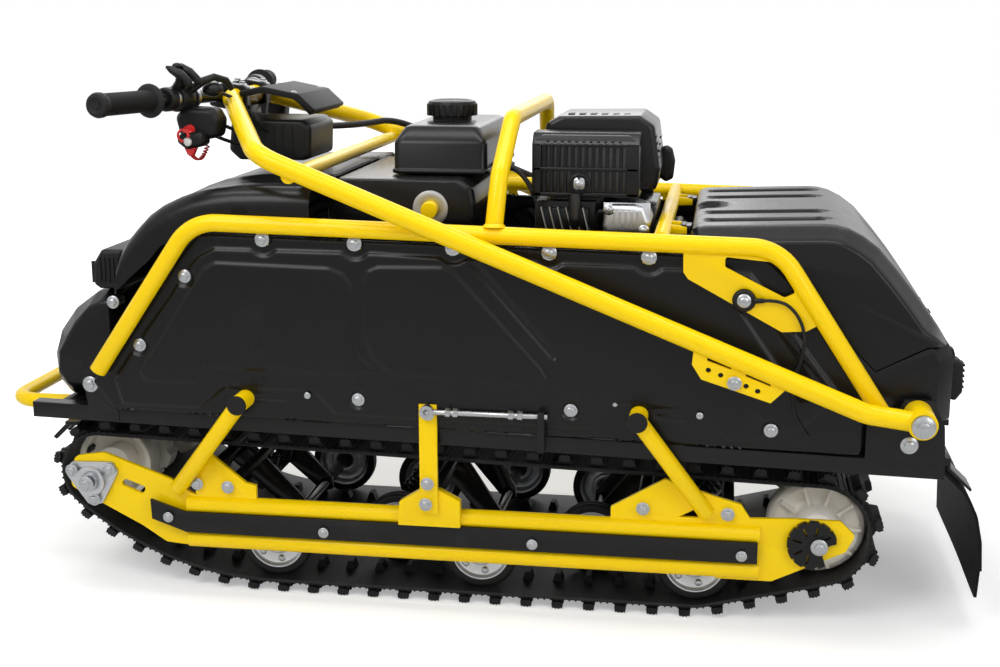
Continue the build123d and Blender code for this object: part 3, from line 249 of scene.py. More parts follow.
YELLOW = Finish("yellow_powder_coat", "yellow_paint", (0.93, 0.63, 0.0008), (0.84, 0.55, 0.001), 0.25,
                specular=0.22, grain_scale=420.0, grain_depth=0.035, ripple_scale=120.0, mark_share=0.25)
HULL_PLASTIC = Finish("black_hull_plastic", "black_plastic", (0.006, 0.006, 0.0062), (0.012, 0.012, 0.0125),
                      0.24,
                      specular=0.22, grain_scale=1500.0, grain_depth=0.08, ripple_scale=18.0, mark_share=0.30,
                      dust=0.10)
TRIM_PLASTIC = Finish("black_trim_plastic", "black_plastic", (0.010, 0.010, 0.010), (0.016, 0.016, 0.0165),
                      0.34, specular=0.18, grain_scale=2200.0, grain_depth=0.14, mark_share=0.30, dust=0.10)
BLACK_PAINT = Finish("black_satin_paint", "black_paint", (0.008, 0.008, 0.008), (0.016, 0.016, 0.016), 0.24,
                     specular=0.22, grain_scale=500.0, grain_depth=0.05, mark_share=0.35)
ENGINE_BLACK = Finish("black_engine_enamel", "black_plastic", (0.008, 0.008, 0.0084), (0.016, 0.016, 0.016),
                      0.24, specular=0.25, grain_scale=700.0, grain_depth=0.05)
RUBBER = Finish("black_track_rubber", "rubber", (0.011, 0.011, 0.0115), (0.030, 0.030, 0.030), 0.46,
                specular=0.2, grain_scale=650.0, grain_depth=0.30, mark_size=30.0, mark_share=0.45, dust=0.22)
GRIP_RUBBER = Finish("black_grip_rubber", "rubber", (0.010, 0.010, 0.010), (0.018, 0.018, 0.018), 0.50,
                     specular=0.2, grain_scale=2400.0, grain_depth=0.35)
STRIP_RUBBER = Finish("black_strip_rubber", "rubber", (0.009, 0.009, 0.0095), (0.022, 0.022, 0.022), 0.34,
                      specular=0.2, grain_scale=900.0, grain_depth=0.10, mark_size=22.0, mark_share=0.5)
FLAP_RUBBER = Finish("black_flap_rubber", "rubber", (0.007, 0.007, 0.007), (0.014, 0.014, 0.014), 0.55,
                     specular=0.08, grain_scale=1200.0, grain_depth=0.12)
MATT_PLASTIC = Finish("black_matt_plastic", "black_plastic", (0.008, 0.008, 0.008), (0.014, 0.014, 0.014),
                      0.48, specular=0.08, grain_scale=2000.0, grain_depth=0.14)
ALLOY = Finish("cast_alloy", "cast_aluminium", (0.48, 0.49, 0.51), (0.28, 0.29, 0.30), 0.34, metallic=1.0,
               grain_scale=500.0, grain_depth=0.25, mark_share=0.4)
RIM_SILVER = Finish("silver_rim_paint", "cast_aluminium", (0.62, 0.64, 0.67), (0.42, 0.44, 0.46), 0.34,
                    metallic=0.75, grain_scale=600.0, grain_depth=0.10)
ZINC = Finish("bright_zinc", "zinc_steel", (0.40, 0.41, 0.42), (0.27, 0.27, 0.26), 0.27, metallic=1.0,
              grain_scale=800.0, grain_depth=0.06, mark_size=60.0)
DARK_STEEL = Finish("blued_steel", "zinc_steel", (0.05, 0.05, 0.052), (0.10, 0.09, 0.085), 0.35, metallic=0.9,
                    grain_scale=800.0, grain_depth=0.10)
CREAM = Finish("natural_nylon", "cream_plastic", (0.88, 0.85, 0.77), (0.66, 0.60, 0.50), 0.38,
               grain_scale=500.0, grain_depth=0.06, mark_size=26.0, mark_share=0.4)
RED = Finish("red_plastic", "red_plastic", (0.62, 0.012, 0.014), (0.42, 0.01, 0.01), 0.30,
             grain_scale=900.0, grain_depth=0.05)
GLOSS_BLACK = Finish("gloss_black_lens", "black_plastic", (0.006, 0.006, 0.007), (0.010, 0.010, 0.011), 0.07,
                     coat=0.6, grain_scale=200.0, grain_depth=0.01, mark_share=0.15)
WHITE_KEY = Finish("white_key_plastic", "cream_plastic", (0.78, 0.78, 0.76), (0.6, 0.6, 0.58), 0.35)


# Mesh work


def bent_line(corners: Sequence[Point], radius: float, steps: int) -> list[Vector]:
    """Rounds the corners of a line with arcs.

    Args:
        corners: the line's corners.
        radius: radius of every bend.
        steps: points per bend.

    Returns:
        The points of the line.
    """
    stops = [Vector(c) for c in corners]
    line = [stops[0]]
    for before, here, after in zip(stops, stops[1:], stops[2:]):
        into, out = (here - before).normalized(), (after - here).normalized()
        turn = into.angle(out)
        cut = min(radius * math.tan(turn / 2), 0.48 * min((here - before).length, (after - here).length))
        bend = cut / math.tan(turn / 2)
        inward = (out - into * out.dot(into)).normalized()
        centre = here - into * cut + inward * bend
        for i in range(steps + 1):
            angle = turn * i / steps
            line.append(centre - inward * bend * math.cos(angle) + into * bend * math.sin(angle))
    return line + [stops[-1]]


def rounded(corners: Sequence[Point], radius: float, steps: int = 4) -> list[tuple[float, float]]:
    """Rounds the corners of a closed flat outline.

    Args:
        corners: (x, z) corners.
        radius: radius of the corners, cut short where a side is short.
        steps: points per corner.

    Returns:
        The outline's points.
    """
    straight = 0.02
    points: list[tuple[float, float]] = []
    for i in range(len(corners)):
        before, here, after = (Vector(corners[(i + k) % len(corners)]).to_3d() for k in (-1, 0, 1))
        into, out = here - before, after - here
        turn = into.angle(out)
        if turn < straight:
            points.append((here.x, here.y))
            continue
        cut = min(radius * math.tan(turn / 2), 0.45 * into.length, 0.45 * out.length)
        start, end = here - into.normalized() * cut, here + out.normalized() * cut
        for share in (k / steps for k in range(steps + 1)):
            spot = start * (1 - share) ** 2 + here * 2 * share * (1 - share) + end * share ** 2
            points.append((spot.x, spot.y))
    return points


def polar(angle: float, radius: float) -> tuple[float, float]:
    """Turns an angle and a radius into two coordinates."""
    return radius * math.cos(angle), radius * math.sin(angle)


def mirrored(half: Sequence[Point]) -> list[Point]:
    """Completes a cross section that runs from the left edge to the middle."""
    return [(x, -y, z) for x, y, z in half] + list(half[:-1])[::-1]


def placed(name: str, data: Any) -> bpy.types.Object:
    """Makes an object and puts it in the scene."""
    made = bpy.data.objects.new(name, data)
    bpy.context.scene.collection.objects.link(made)
    return made


def bake(piece: bpy.types.Object) -> None:
    """Turns a piece's modifiers into plain mesh and takes them off."""
    if piece.modifiers:
        graph = bpy.context.evaluated_depsgraph_get()
        mesh = bpy.data.meshes.new_from_object(piece.evaluated_get(graph))
        piece.modifiers.clear()
        piece.data = mesh


def shaped(piece: bpy.types.Object, wall: float = 0.0, bevel: float = 0.0, segments: int = 2,
           sharp: float = 30.0) -> None:
    """Gives an open skin its wall and rounds a piece's edges.

    Args:
        piece: the object.
        wall: thickness given to an open skin, inwards.
        bevel: width of the rounded edges.
        segments: steps in them.
        sharp: smallest angle, in degrees, that is rounded.
    """
    if wall:
        solid = piece.modifiers.new("wall", "SOLIDIFY")
        solid.thickness = wall * MILLIMETRE
        solid.offset = -1.0
    if bevel:
        edge = piece.modifiers.new("edges", "BEVEL")
        edge.width = bevel * MILLIMETRE
        edge.segments = segments
        edge.limit_method = "ANGLE"
        edge.angle_limit = math.radians(sharp)
    bake(piece)


def dress(piece: bpy.types.Object, finish: Finish, body: Body, replaces: Sequence[str] = (),
          smooth: float = 35.0) -> None:
    """Gives a piece its finish, shading and body.

    Args:
        piece: the object.
        finish: its surface.
        body: what it rides on.
        replaces: model nodes that it stands for.
        smooth: largest angle, in degrees, that is shaded smooth.
    """
    mesh = piece.data
    if not mesh.materials:
        mesh.materials.append(finish.material())
    mesh.shade_smooth()
    mesh.set_sharp_from_angle(angle=math.radians(smooth))
    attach(piece, body.value)
    if replaces:
        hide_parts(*replaces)
    LOG.info("%s: %d faces", piece.name, len(mesh.polygons))


class Maker:
    """Collects shapes in millimetres and turns them into one finished piece."""

    def __init__(self) -> None:
        """Starts with no shapes."""
        self.bm = bmesh.new()

    def faces(self, points: Iterable[Point], faces: Iterable[Sequence[int]]) -> "Maker":
        """Adds faces, given as indices, over new points."""
        verts = [self.bm.verts.new(p) for p in points]
        for face in faces:
            self.bm.faces.new([verts[i] for i in face])
        return self

    def prism(self, outline: Sequence[Point], y0: float, y1: float) -> "Maker":
        """Adds an (x, z) outline extruded from y0 to y1."""
        count = len(outline)
        points = [(x, y, z) for y in (y0, y1) for x, z in outline]
        sides = [(i, (i + 1) % count, count + (i + 1) % count, count + i) for i in range(count)]
        return self.faces(points, [tuple(range(count))[::-1], tuple(range(count, 2 * count))] + sides)

    def box(self, x0: float, x1: float, y0: float, y1: float, z0: float, z1: float) -> "Maker":
        """Adds a box between two corners."""
        return self.prism([(x0, z0), (x1, z0), (x1, z1), (x0, z1)], y0, y1)

    def rings(self, rings: Sequence[Sequence[Point]], closed: bool = False) -> "Maker":
        """Adds a skin over rings of equal length.

        Args:
            rings: rings of points, each closed on itself.
            closed: whether the last ring joins the first; if not, both ends are filled.

        Returns:
            This maker.
        """
        size, total = len(rings[0]), len(rings)
        faces: list[Sequence[int]] = []
        for i in range(total if closed else total - 1):
            low, high = i * size, ((i + 1) % total) * size
            faces += [(low + k, low + (k + 1) % size, high + (k + 1) % size, high + k) for k in range(size)]
        if not closed:
            faces += [tuple(range(size))[::-1], tuple(range((total - 1) * size, total * size))]
        return self.faces([p for ring in rings for p in ring], faces)

    def tube(self, line: Sequence[Point], radius: float | Sequence[float], sides: int = 20) -> "Maker":
        """Adds a round tube along a line of points.

        Args:
            line: centre points.
            radius: one radius, or one for each point.
            sides: facets round the tube.

        Returns:
            This maker.
        """
        spots = [Vector(p) for p in line]
        radii = [radius] * len(spots) if isinstance(radius, (int, float)) else radius
        rings = []
        across: Optional[Vector] = None
        for i, spot in enumerate(spots):
            along = (spots[min(i + 1, len(spots) - 1)] - spots[max(i - 1, 0)]).normalized()
            across = along.orthogonal().normalized() if across is None else across
            across = (across - along * across.dot(along)).normalized()
            other = along.cross(across)
            turns = [polar(FULL_TURN * k / sides, 1.0) for k in range(sides)]
            rings.append([spot + (across * a + other * b) * radii[i] for a, b in turns])
        return self.rings(rings)

    def lathe(self, centre: Point, profile: Sequence[Point], sides: int = 48,
              axis: Point = ACROSS) -> "Maker":
        """Adds a turned shape.

        Args:
            centre: a point on the axis.
            profile: closed loop of (radius, along) corners.
            sides: facets round it.
            axis: direction of the axis.

        Returns:
            This maker.
        """
        middle, along = Vector(centre), Vector(axis).normalized()
        across = along.orthogonal().normalized()
        other = along.cross(across)
        rings = []
        for a, b in (polar(FULL_TURN * k / sides, 1.0) for k in range(sides)):
            out = across * a + other * b
            rings.append([middle + out * max(r, 0.001) + along * t for r, t in profile])
        return self.rings(rings, closed=True)

    def ball(self, centre: Point, radius: float, squash: Point = (1.0, 1.0, 1.0)) -> "Maker":
        """Adds a ball, flattened by a factor on each axis."""
        place = Matrix.Translation(Vector(centre)) @ Matrix.Diagonal((*squash, 1.0))
        bmesh.ops.create_uvsphere(self.bm, u_segments=20, v_segments=12, radius=radius, matrix=place)
        return self

    def skin(self, rows: Sequence[Sequence[Point]]) -> "Maker":
        """Adds an open skin over rows of points."""
        width = len(rows[0])
        faces = [(i * width + k, i * width + k + 1, (i + 1) * width + k + 1, (i + 1) * width + k)
                 for i in range(len(rows) - 1) for k in range(width - 1)]
        return self.faces([p for row in rows for p in row], faces)

    def crowned(self, outline: Sequence[Point], y0: float, y1: float, edge: Sequence[Point]) -> "Maker":
        """Adds an (x, z) outline extruded along Y with shaped ends.

        Args:
            outline: the middle section.
            y0: one end.
            y1: the other end.
            edge: the ends' shape, as (distance from the end, inset of the outline).

        Returns:
            This maker.
        """
        cx, cz = (sum(p[i] for p in outline) / len(outline) for i in (0, 1))
        stations = ([(y0 + away, inset) for away, inset in edge]
                    + [(y1 - away, inset) for away, inset in edge[::-1]])
        rings = []
        for y, inset in stations:
            shares = [max(0.0, 1 - inset / (math.hypot(x - cx, z - cz) or 1.0)) for x, z in outline]
            rings.append([(cx + (x - cx) * s, y, cz + (z - cz) * s) for (x, z), s in zip(outline, shares)])
        return self.rings(rings)

    def pillow(self, outline: Sequence[Point], y0: float, y1: float, edge: float, steps: int = 5) -> "Maker":
        """Adds an (x, z) outline extruded along Y with softly rounded ends.

        Args:
            outline: the middle section, with its corners already rounded.
            y0: one end.
            y1: the other end.
            edge: radius of the ends' edges.
            steps: rings in each rounded edge.

        Returns:
            This maker.
        """
        turns = [polar(QUARTER_TURN * i / steps, edge) for i in range(steps + 1)]
        return self.crowned(outline, y0, y1, [(edge - a, edge - b) for a, b in turns])

    def both_sides(self) -> "Maker":
        """Adds the mirror image of everything so far across the middle plane."""
        copy = bmesh.ops.duplicate(self.bm, geom=self.bm.verts[:] + self.bm.edges[:] + self.bm.faces[:])
        for item in copy["geom"]:
            if isinstance(item, bmesh.types.BMVert):
                item.co.y = -item.co.y
        return self

    def mesh(self, name: str) -> bpy.types.Mesh:
        """Ends the shapes as one mesh in metres."""
        bmesh.ops.scale(self.bm, vec=Vector((MILLIMETRE,) * 3), verts=self.bm.verts)
        made = bpy.data.meshes.new(name)
        self.bm.to_mesh(made)
        self.bm.free()
        return made

    def piece(self, name: str, finish: Finish, *replaces: str, body: Body = Body.HULL, smooth: float = 35.0,
              bevel: float = 0.0, segments: int = 2, wall: float = 0.0) -> None:
        """Ends the shapes as one finished piece.

        Args:
            name: the piece's name.
            finish: its surface.
            *replaces: model nodes that it stands for.
            body: what it rides on.
            smooth: largest angle, in degrees, that is shaded smooth.
            bevel: width of the rounded edges.
            segments: steps in them.
            wall: thickness given to an open skin, inwards.
        """
        bmesh.ops.remove_doubles(self.bm, verts=self.bm.verts, dist=MERGE_DISTANCE)
        bmesh.ops.recalc_face_normals(self.bm, faces=self.bm.faces)
        made = placed(name, self.mesh(name))
        shaped(made, wall, bevel, segments)
        dress(made, finish, body, replaces, smooth)


def free_cord(name: str, route: Sequence[Point], thickness: float, replaces: Sequence[str] = (),
              body: Body = Body.HULL, finish: Finish = RUBBER) -> None:
    """Lays a cord along a smooth line.

    Args:
        name: the piece's name.
        route: the points that pull the line, from where it leaves the machine.
        thickness: its diameter.
        replaces: model nodes that it stands for.
        body: what it rides on.
        finish: its surface.
    """
    data = bpy.data.curves.new(name, "CURVE")
    data.dimensions = "3D"
    data.bevel_depth = thickness / 2 * MILLIMETRE
    data.bevel_resolution = 5
    data.resolution_u = 10
    data.use_fill_caps = True
    data.materials.append(finish.material())
    line = data.splines.new("NURBS")
    line.points.add(len(route) - 1)
    for point, place in zip(line.points, route):
        point.co = (*(value * MILLIMETRE for value in place), 1.0)
    line.order_u = 3
    line.use_endpoint_u = True
    made = placed(name, data)
    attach(made, body.value)
    if replaces:
        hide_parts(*replaces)


def refined(node: str, finish: Finish, bevel: float = 0.0, body: Body = Body.HULL) -> None:
    """Gives a model node a merged, smoothly shaded and edge-rounded copy that stands for it.

    Args:
        node: the model node.
        finish: its surface.
        bevel: width of the rounded edges.
        body: what it rides on.
    """
    bm = bmesh.new()
    bm.from_mesh(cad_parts[node].data)
    bmesh.ops.remove_doubles(bm, verts=bm.verts, dist=2e-6)
    bmesh.ops.dissolve_limit(bm, angle_limit=math.radians(1.0), verts=bm.verts, edges=bm.edges)
    mesh = bpy.data.meshes.new(node + "_finished")
    bm.to_mesh(mesh)
    bm.free()
    made = placed(node + "_finished", mesh)
    shaped(made, bevel=bevel, sharp=35)
    dress(made, finish, body, [node], smooth=32)


# Repeats, as geometry node trees


class Repeat(Group):
    """A geometry node group that ends in real geometry with its own material."""

    def __init__(self, name: str, **inputs: tuple[str, Any]) -> None:
        """Starts the group with its own inputs, named with underscores for blanks."""
        named = {key.replace("_", " "): value for key, value in inputs.items()}
        super().__init__(name, {"Geometry": (GEOMETRY, None), **named, "Finish": (SURFACE, None)}, "Geometry",
                         GEOMETRY, "GeometryNodeTree")

    def end(self, value: Any) -> bpy.types.NodeTree:
        """Makes the copies real, gives them the finish and returns the tree."""
        real = self.node("GeometryNodeRealizeInstances", value)
        return super().end(self.node("GeometryNodeSetMaterial", real, Material=self.given["Finish"]))

    def copies(self, points: Any, shape: Any, turn: Any) -> bpy.types.Node:
        """Sets a turned shape on every point."""
        return self.node("GeometryNodeInstanceOnPoints", Points=points, Instance=shape, Rotation=turn)

    def facing(self) -> bpy.types.Node:
        """The turn from straight up to each point's own direction."""
        way = self.node("GeometryNodeInputNamedAttribute", data_type="FLOAT_VECTOR", Name="facing")
        return self.node("FunctionNodeAlignRotationToVector", axis="Z", Vector=way)


@lru_cache(maxsize=None)
def bolt_tree() -> bpy.types.NodeTree:
    """Flanged hex heads on points that carry a facing direction."""
    tree = Repeat("flanged_bolts", Head_Radius=(FLOAT, 0.006), Head_Height=(FLOAT, 0.005),
                  Flange_Radius=(FLOAT, 0.010), Flange_Height=(FLOAT, 0.0015))
    given = tree.given
    radius, height = given["Head Radius"], given["Head Height"]
    dome_foot, dome_top, dome_height = 0.82, 0.55, 0.18

    def part(size: bpy.types.NodeSocket, share: float) -> bpy.types.Node:
        """A share of a size."""
        return tree.node("ShaderNodeMath", size, share, operation="MULTIPLY")

    def raised(shape: bpy.types.Node, lift: Any) -> bpy.types.Node:
        """A shape moved up."""
        return tree.node("GeometryNodeTransform", shape,
                         Translation=tree.node("ShaderNodeCombineXYZ", Z=lift))

    head = tree.node("GeometryNodeMeshCylinder", Vertices=6, Radius=radius, Depth=height)
    dome = tree.node("GeometryNodeMeshCone", Vertices=18, Radius_Bottom=part(radius, dome_foot),
                     Radius_Top=part(radius, dome_top), Depth=part(height, dome_height))
    flange = tree.node("GeometryNodeMeshCone", Vertices=24, Radius_Bottom=given["Flange Radius"],
                       Radius_Top=radius, Depth=given["Flange Height"])
    bolt = tree.node("GeometryNodeJoinGeometry")
    for shape in (raised(head, part(height, 0.5)), raised(dome, height), flange):
        tree.feed(bolt.inputs[0], shape)
    return tree.end(tree.copies(given["Geometry"], bolt, tree.facing()))


@lru_cache(maxsize=None)
def row_tree() -> bpy.types.NodeTree:
    """Equal bars in a straight row."""
    tree = Repeat("bar_row", Count=(WHOLE, 5), First=(VECTOR, None), Step=(VECTOR, None), Size=(VECTOR, None),
                  Turn=(VECTOR, None))
    given = tree.given
    line = tree.node("GeometryNodeMeshLine", mode="OFFSET", Count=given["Count"],
                     Start_Location=given["First"], Offset=given["Step"])
    return tree.end(tree.copies(line, tree.node("GeometryNodeMeshCube", Size=given["Size"]), given["Turn"]))


@lru_cache(maxsize=None)
def ring_tree() -> bpy.types.NodeTree:
    """Equal bars round an axis."""
    tree = Repeat("bar_ring", Count=(WHOLE, 12), Radius=(FLOAT, 0.03), Size=(VECTOR, None),
                  Centre=(VECTOR, None), Axis_Turn=(VECTOR, None))
    given = tree.given
    circle = tree.node("GeometryNodeMeshCircle", Vertices=given["Count"], Radius=given["Radius"])
    turn = tree.node("FunctionNodeAlignRotationToVector", axis="X", pivot_axis="Z",
                     Vector=tree.node("GeometryNodeInputPosition"))
    ring = tree.copies(circle, tree.node("GeometryNodeMeshCube", Size=given["Size"]), turn)
    return tree.end(tree.node("GeometryNodeTransform", ring, Translation=given["Centre"],
                              Rotation=given["Axis Turn"]))


@lru_cache(maxsize=None)
def coil_tree() -> bpy.types.NodeTree:
    """Coil springs on points that carry a facing direction."""
    tree = Repeat("coil_spring", Turns=(FLOAT, 7.0), Coil_Radius=(FLOAT, 0.013), Wire_Radius=(FLOAT, 0.0025),
                  Length=(FLOAT, 0.06))
    given = tree.given
    spiral = tree.node("GeometryNodeCurveSpiral", Resolution=18, Rotations=given["Turns"],
                       Start_Radius=given["Coil Radius"], End_Radius=given["Coil Radius"],
                       Height=given["Length"])
    wire = tree.node("GeometryNodeCurvePrimitiveCircle", Resolution=8, Radius=given["Wire Radius"])
    spring = tree.node("GeometryNodeCurveToMesh", Curve=spiral, Profile_Curve=wire, Fill_Caps=True)
    return tree.end(tree.copies(given["Geometry"], spring, tree.facing()))


@lru_cache(maxsize=None)
def loop_tree() -> bpy.types.NodeTree:
    """One shape repeated at even steps round a closed line in the side plane."""
    tree = Repeat("along_loop", Count=(WHOLE, 56), Shape=(THING, None))
    given = tree.given
    curve = tree.node("GeometryNodeMeshToCurve", given["Geometry"])
    even = tree.node("GeometryNodeResampleCurve", Curve=curve, Count=given["Count"])
    turn = tree.node("FunctionNodeAlignRotationToVector", axis="X", pivot_axis="Y",
                     Vector=tree.node("GeometryNodeInputTangent"))
    shape = tree.node("GeometryNodeObjectInfo", Object=given["Shape"]).outputs["Geometry"]
    return tree.end(tree.copies(even, shape, turn))


def grow(name: str, tree: bpy.types.NodeTree, values: dict[str, Any], finish: Finish,
         start: Optional[bpy.types.Mesh] = None) -> bpy.types.Object:
    """Runs a geometry node tree and keeps the result as a plain mesh.

    Args:
        name: the piece's name.
        tree: the tree.
        values: its named inputs, with sizes in metres.
        finish: the material that it sets.
        start: mesh that the tree starts from.

    Returns:
        An object with plain mesh, not yet riding on a body.
    """
    made = placed(name, start or bpy.data.meshes.new(name))
    modifier = made.modifiers.new("repeat", "NODES")
    modifier.node_group = tree
    given = {**values, "Finish": finish.material()}
    for item in tree.interface.items_tree:
        if item.item_type == "SOCKET" and item.in_out == "INPUT" and item.name in given:
            modifier[item.identifier] = given[item.name]
    bake(made)
    return made


def points_mesh(name: str, spots: Sequence[Point], facing: Sequence[Point]) -> bpy.types.Mesh:
    """Makes loose points, in metres, that carry a facing direction each."""
    mesh = bpy.data.meshes.new(name)
    mesh.from_pydata([Vector(s) * MILLIMETRE for s in spots], [], [])
    layer = mesh.attributes.new("facing", "FLOAT_VECTOR", "POINT")
    for item, direction in zip(layer.data, facing):
        item.vector = Vector(direction).normalized()
    return mesh


@dataclass(frozen=True)
class BoltSize:
    """Sizes of one kind of bolt head."""

    head: float
    height: float
    flange: float
    flange_height: float = 1.5


M6, M8, M10 = BoltSize(5.6, 4.5, 8.6), BoltSize(7.0, 5.5, 10.5), BoltSize(8.6, 6.5, 13.0, 2.0)
RIVET = BoltSize(3.2, 1.6, 5.2, 1.0)


def bolt_set(name: str, size: BoltSize, spots: Sequence[Point], facing: Point = ACROSS,
             body: Body = Body.HULL, mirror: bool = True) -> None:
    """Makes one set of like bolt heads.

    Args:
        name: the piece's name.
        size: their sizes.
        spots: where the heads sit.
        facing: the way they all face, on the left side.
        body: what they ride on.
        mirror: whether the right side has them too.
    """
    places, ways = [Vector(s) for s in spots], [Vector(facing) for _ in spots]
    if mirror:
        flip = Vector((1, -1, 1))
        places, ways = places + [s * flip for s in places], ways + [w * flip for w in ways]
    values = {"Head Radius": size.head * MILLIMETRE, "Head Height": size.height * MILLIMETRE,
              "Flange Radius": size.flange * MILLIMETRE, "Flange Height": size.flange_height * MILLIMETRE}
    dress(grow(name, bolt_tree(), values, ZINC, points_mesh(name, places, ways)), ZINC, body)


def bar_row(name: str, finish: Finish, count: int, first: Point, step: Point, size: Point,
            turn: Point = (0, 0, 0), bevel: float = 0.4, body: Body = Body.HULL) -> None:
    """Makes a straight row of equal bars.

    Args:
        name: the piece's name.
        finish: its surface.
        count: how many bars.
        first: the first one's middle.
        step: from one to the next.
        size: a bar's length, depth and height.
        turn: a bar's turn about each axis.
        bevel: width of the cut edges.
        body: what they ride on.
    """
    values = {"Count": count, "First": Vector(first) * MILLIMETRE, "Step": Vector(step) * MILLIMETRE,
              "Size": Vector(size) * MILLIMETRE, "Turn": Vector(turn)}
    made = grow(name, row_tree(), values, finish)
    shaped(made, bevel=bevel, segments=1)
    dress(made, finish, body)


def bar_ring(name: str, finish: Finish, count: int, radius: float, size: Point, centre: Point,
             turn: Point = (0, 0, 0)) -> None:
    """Makes a ring of equal bars round an axis.

    Args:
        name: the piece's name.
        finish: its surface.
        count: how many bars.
        radius: from the axis to a bar's middle.
        size: a bar's length, depth and height.
        centre: the ring's middle.
        turn: the ring's turn about each axis.
    """
    values = {"Count": count, "Radius": radius * MILLIMETRE, "Size": Vector(size) * MILLIMETRE,
              "Centre": Vector(centre) * MILLIMETRE, "Axis Turn": Vector(turn)}
    dress(grow(name, ring_tree(), values, finish), finish, Body.HULL)


# Track and running gear


@dataclass
class TrackLoop:
    """The rubber track: ribbed belt, cross lugs and inner guide lugs."""

    width: float = 500.0
    thickness: float = 5.5
    lug_height: float = 18.0
    lug_count: int = 56
    ribs_each: int = 5
    sprocket: Point = (612.0, 194.0, 64.5)
    idler: Point = (-559.0, 150.0, 78.0)
    sag_x: float = 318.0
    rear_wheel_x: float = -371.0
    wheel_radius: float = 61.3
    edge_lug: float = 82.0
    middle_lug: float = 110.0
    guide_y: float = 175.0

    def line(self, offset: float) -> list[tuple[float, float]]:
        """Traces the belt, forward over the top run.

        Args:
            offset: distance outward from the belt's inner face.

        Returns:
            The loop's (x, z) points.
        """
        ground = self.lug_height + self.thickness - offset
        (sx, sz, sr), (ix, iz, ir) = self.sprocket, self.idler
        sr, ir, wr = sr + offset, ir + offset, self.wheel_radius + offset
        wx, wz = self.rear_wheel_x, ground + self.wheel_radius + offset
        rise, run = sz - ground, sx - self.sag_x
        sag = (run ** 2 + rise ** 2 - sr ** 2) / (2 * (rise - sr))
        toward = math.atan2(sz - ground - sag, run)
        top = (QUARTER_TURN + math.atan2(sz - iz, sx - ix)
               + math.asin((sr - ir) / math.hypot(sx - ix, sz - iz)))
        under = (-QUARTER_TURN + math.atan2(wz - iz, wx - ix)
                 + math.asin((ir - wr) / math.hypot(wx - ix, iz - wz)))
        arc_step, run_step = 6, 12

        def arc(cx: float, cz: float, radius: float, a0: float, a1: float) -> list[tuple[float, float]]:
            """Points of one arc."""
            steps = max(3, int(abs(a1 - a0) * radius / arc_step))
            turns = [polar(a0 + (a1 - a0) * i / steps, radius) for i in range(steps + 1)]
            return [(cx + x, cz + z) for x, z in turns]

        def run_to(a: Point, b: Point) -> list[tuple[float, float]]:
            """Points of one straight run, without its ends."""
            steps = max(2, int(math.hypot(b[0] - a[0], b[1] - a[1]) / run_step))
            return [(a[0] + (b[0] - a[0]) * i / steps, a[1] + (b[1] - a[1]) * i / steps)
                    for i in range(1, steps)]

        front_sag = arc(self.sag_x, ground + sag, sag, -QUARTER_TURN, toward)
        front = arc(sx, sz, sr, toward, top)
        rear = arc(ix, iz, ir, top, under + FULL_TURN)
        foot = arc(wx, wz, wr, under, -QUARTER_TURN)
        points = front_sag + front[1:] + run_to(front[-1], rear[0]) + rear
        points += run_to(rear[-1], foot[0]) + foot + run_to(foot[-1], front_sag[0])
        return points[::-1]

    def _belt(self) -> Maker:
        """Sweeps the belt's section, with a thicker beaded edge, round the loop."""
        line, half, rings = self.line(0.0), self.width / 2, []
        section = ((0.0, 1 - half), (0.55, -half), (1.0, 2 - half), (1.0, half - 2), (0.55, half),
                   (0.0, half - 1))
        for i, (x, z) in enumerate(line):
            (ax, az), (bx, bz) = line[i - 1], line[(i + 1) % len(line)]
            along = Vector((bx - ax, bz - az)).normalized() * self.thickness
            rings.append([(x - along.y * depth, y, z + along.x * depth) for depth, y in section])
        return Maker().rings(rings, closed=True)

    def _lug(self) -> Maker:
        """Builds one cross row of lugs, standing on the belt's outer face."""
        stem = [(-15, -1), (-14.5, 2), (-10.5, 4.5), (-6.6, 15.5), (-5, 17.2), (5, 17.2), (6.6, 15.5),
                (10.5, 4.5), (14.5, 2), (15, -1)]
        claw = [(-9.4, 9), (-8.2, 16.8), (-5, 15.6), (-3, 18), (0, 16), (3, 18), (5, 15.6), (8.2, 16.8),
                (9.4, 9), (6, 6), (-6, 6)]
        edge, middle = self.width / 2 - 2, self.middle_lug / 2
        maker = Maker()
        for y0, y1 in ((-edge + 10, self.edge_lug - edge), (-middle, middle),
                       (edge - self.edge_lug, edge - 10)):
            maker.prism(stem, y0, y1)
        for y in (edge - 12, edge - 34, middle - 14):
            maker.prism(claw, y, y + 9).prism(claw, -y - 9, -y)
        for y in (edge - self.edge_lug - 26, middle + 34):
            maker.box(-3.5, 3.5, y, y + 20, -1, 5).box(-3.5, 3.5, -y - 20, -y, -1, 5)
        return maker

    def _guide(self) -> Maker:
        """Builds one pair of inner guide lugs."""
        wedge, half = [(-9, 0.5), (9, 0.5), (4, -14), (-4, -14)], 11
        maker = Maker()
        for y in (self.guide_y, -self.guide_y):
            maker.prism(wedge, y - half, y + half)
        return maker

    def _rib(self) -> Maker:
        """Builds one fine cross rib of the belt's outer face."""
        return Maker().box(-1.4, 1.4, -self.width / 2 + 0.4, self.width / 2 - 0.4, -0.6, 1.3)

    def _loop_mesh(self, offset: float) -> bpy.types.Mesh:
        """Makes the closed line, in metres, that the repeats follow."""
        mesh = bpy.data.meshes.new("track_line")
        spots = [(x * MILLIMETRE, 0.0, z * MILLIMETRE) for x, z in self.line(offset)]
        mesh.from_pydata(spots, [(i, (i + 1) % len(spots)) for i in range(len(spots))], [])
        return mesh

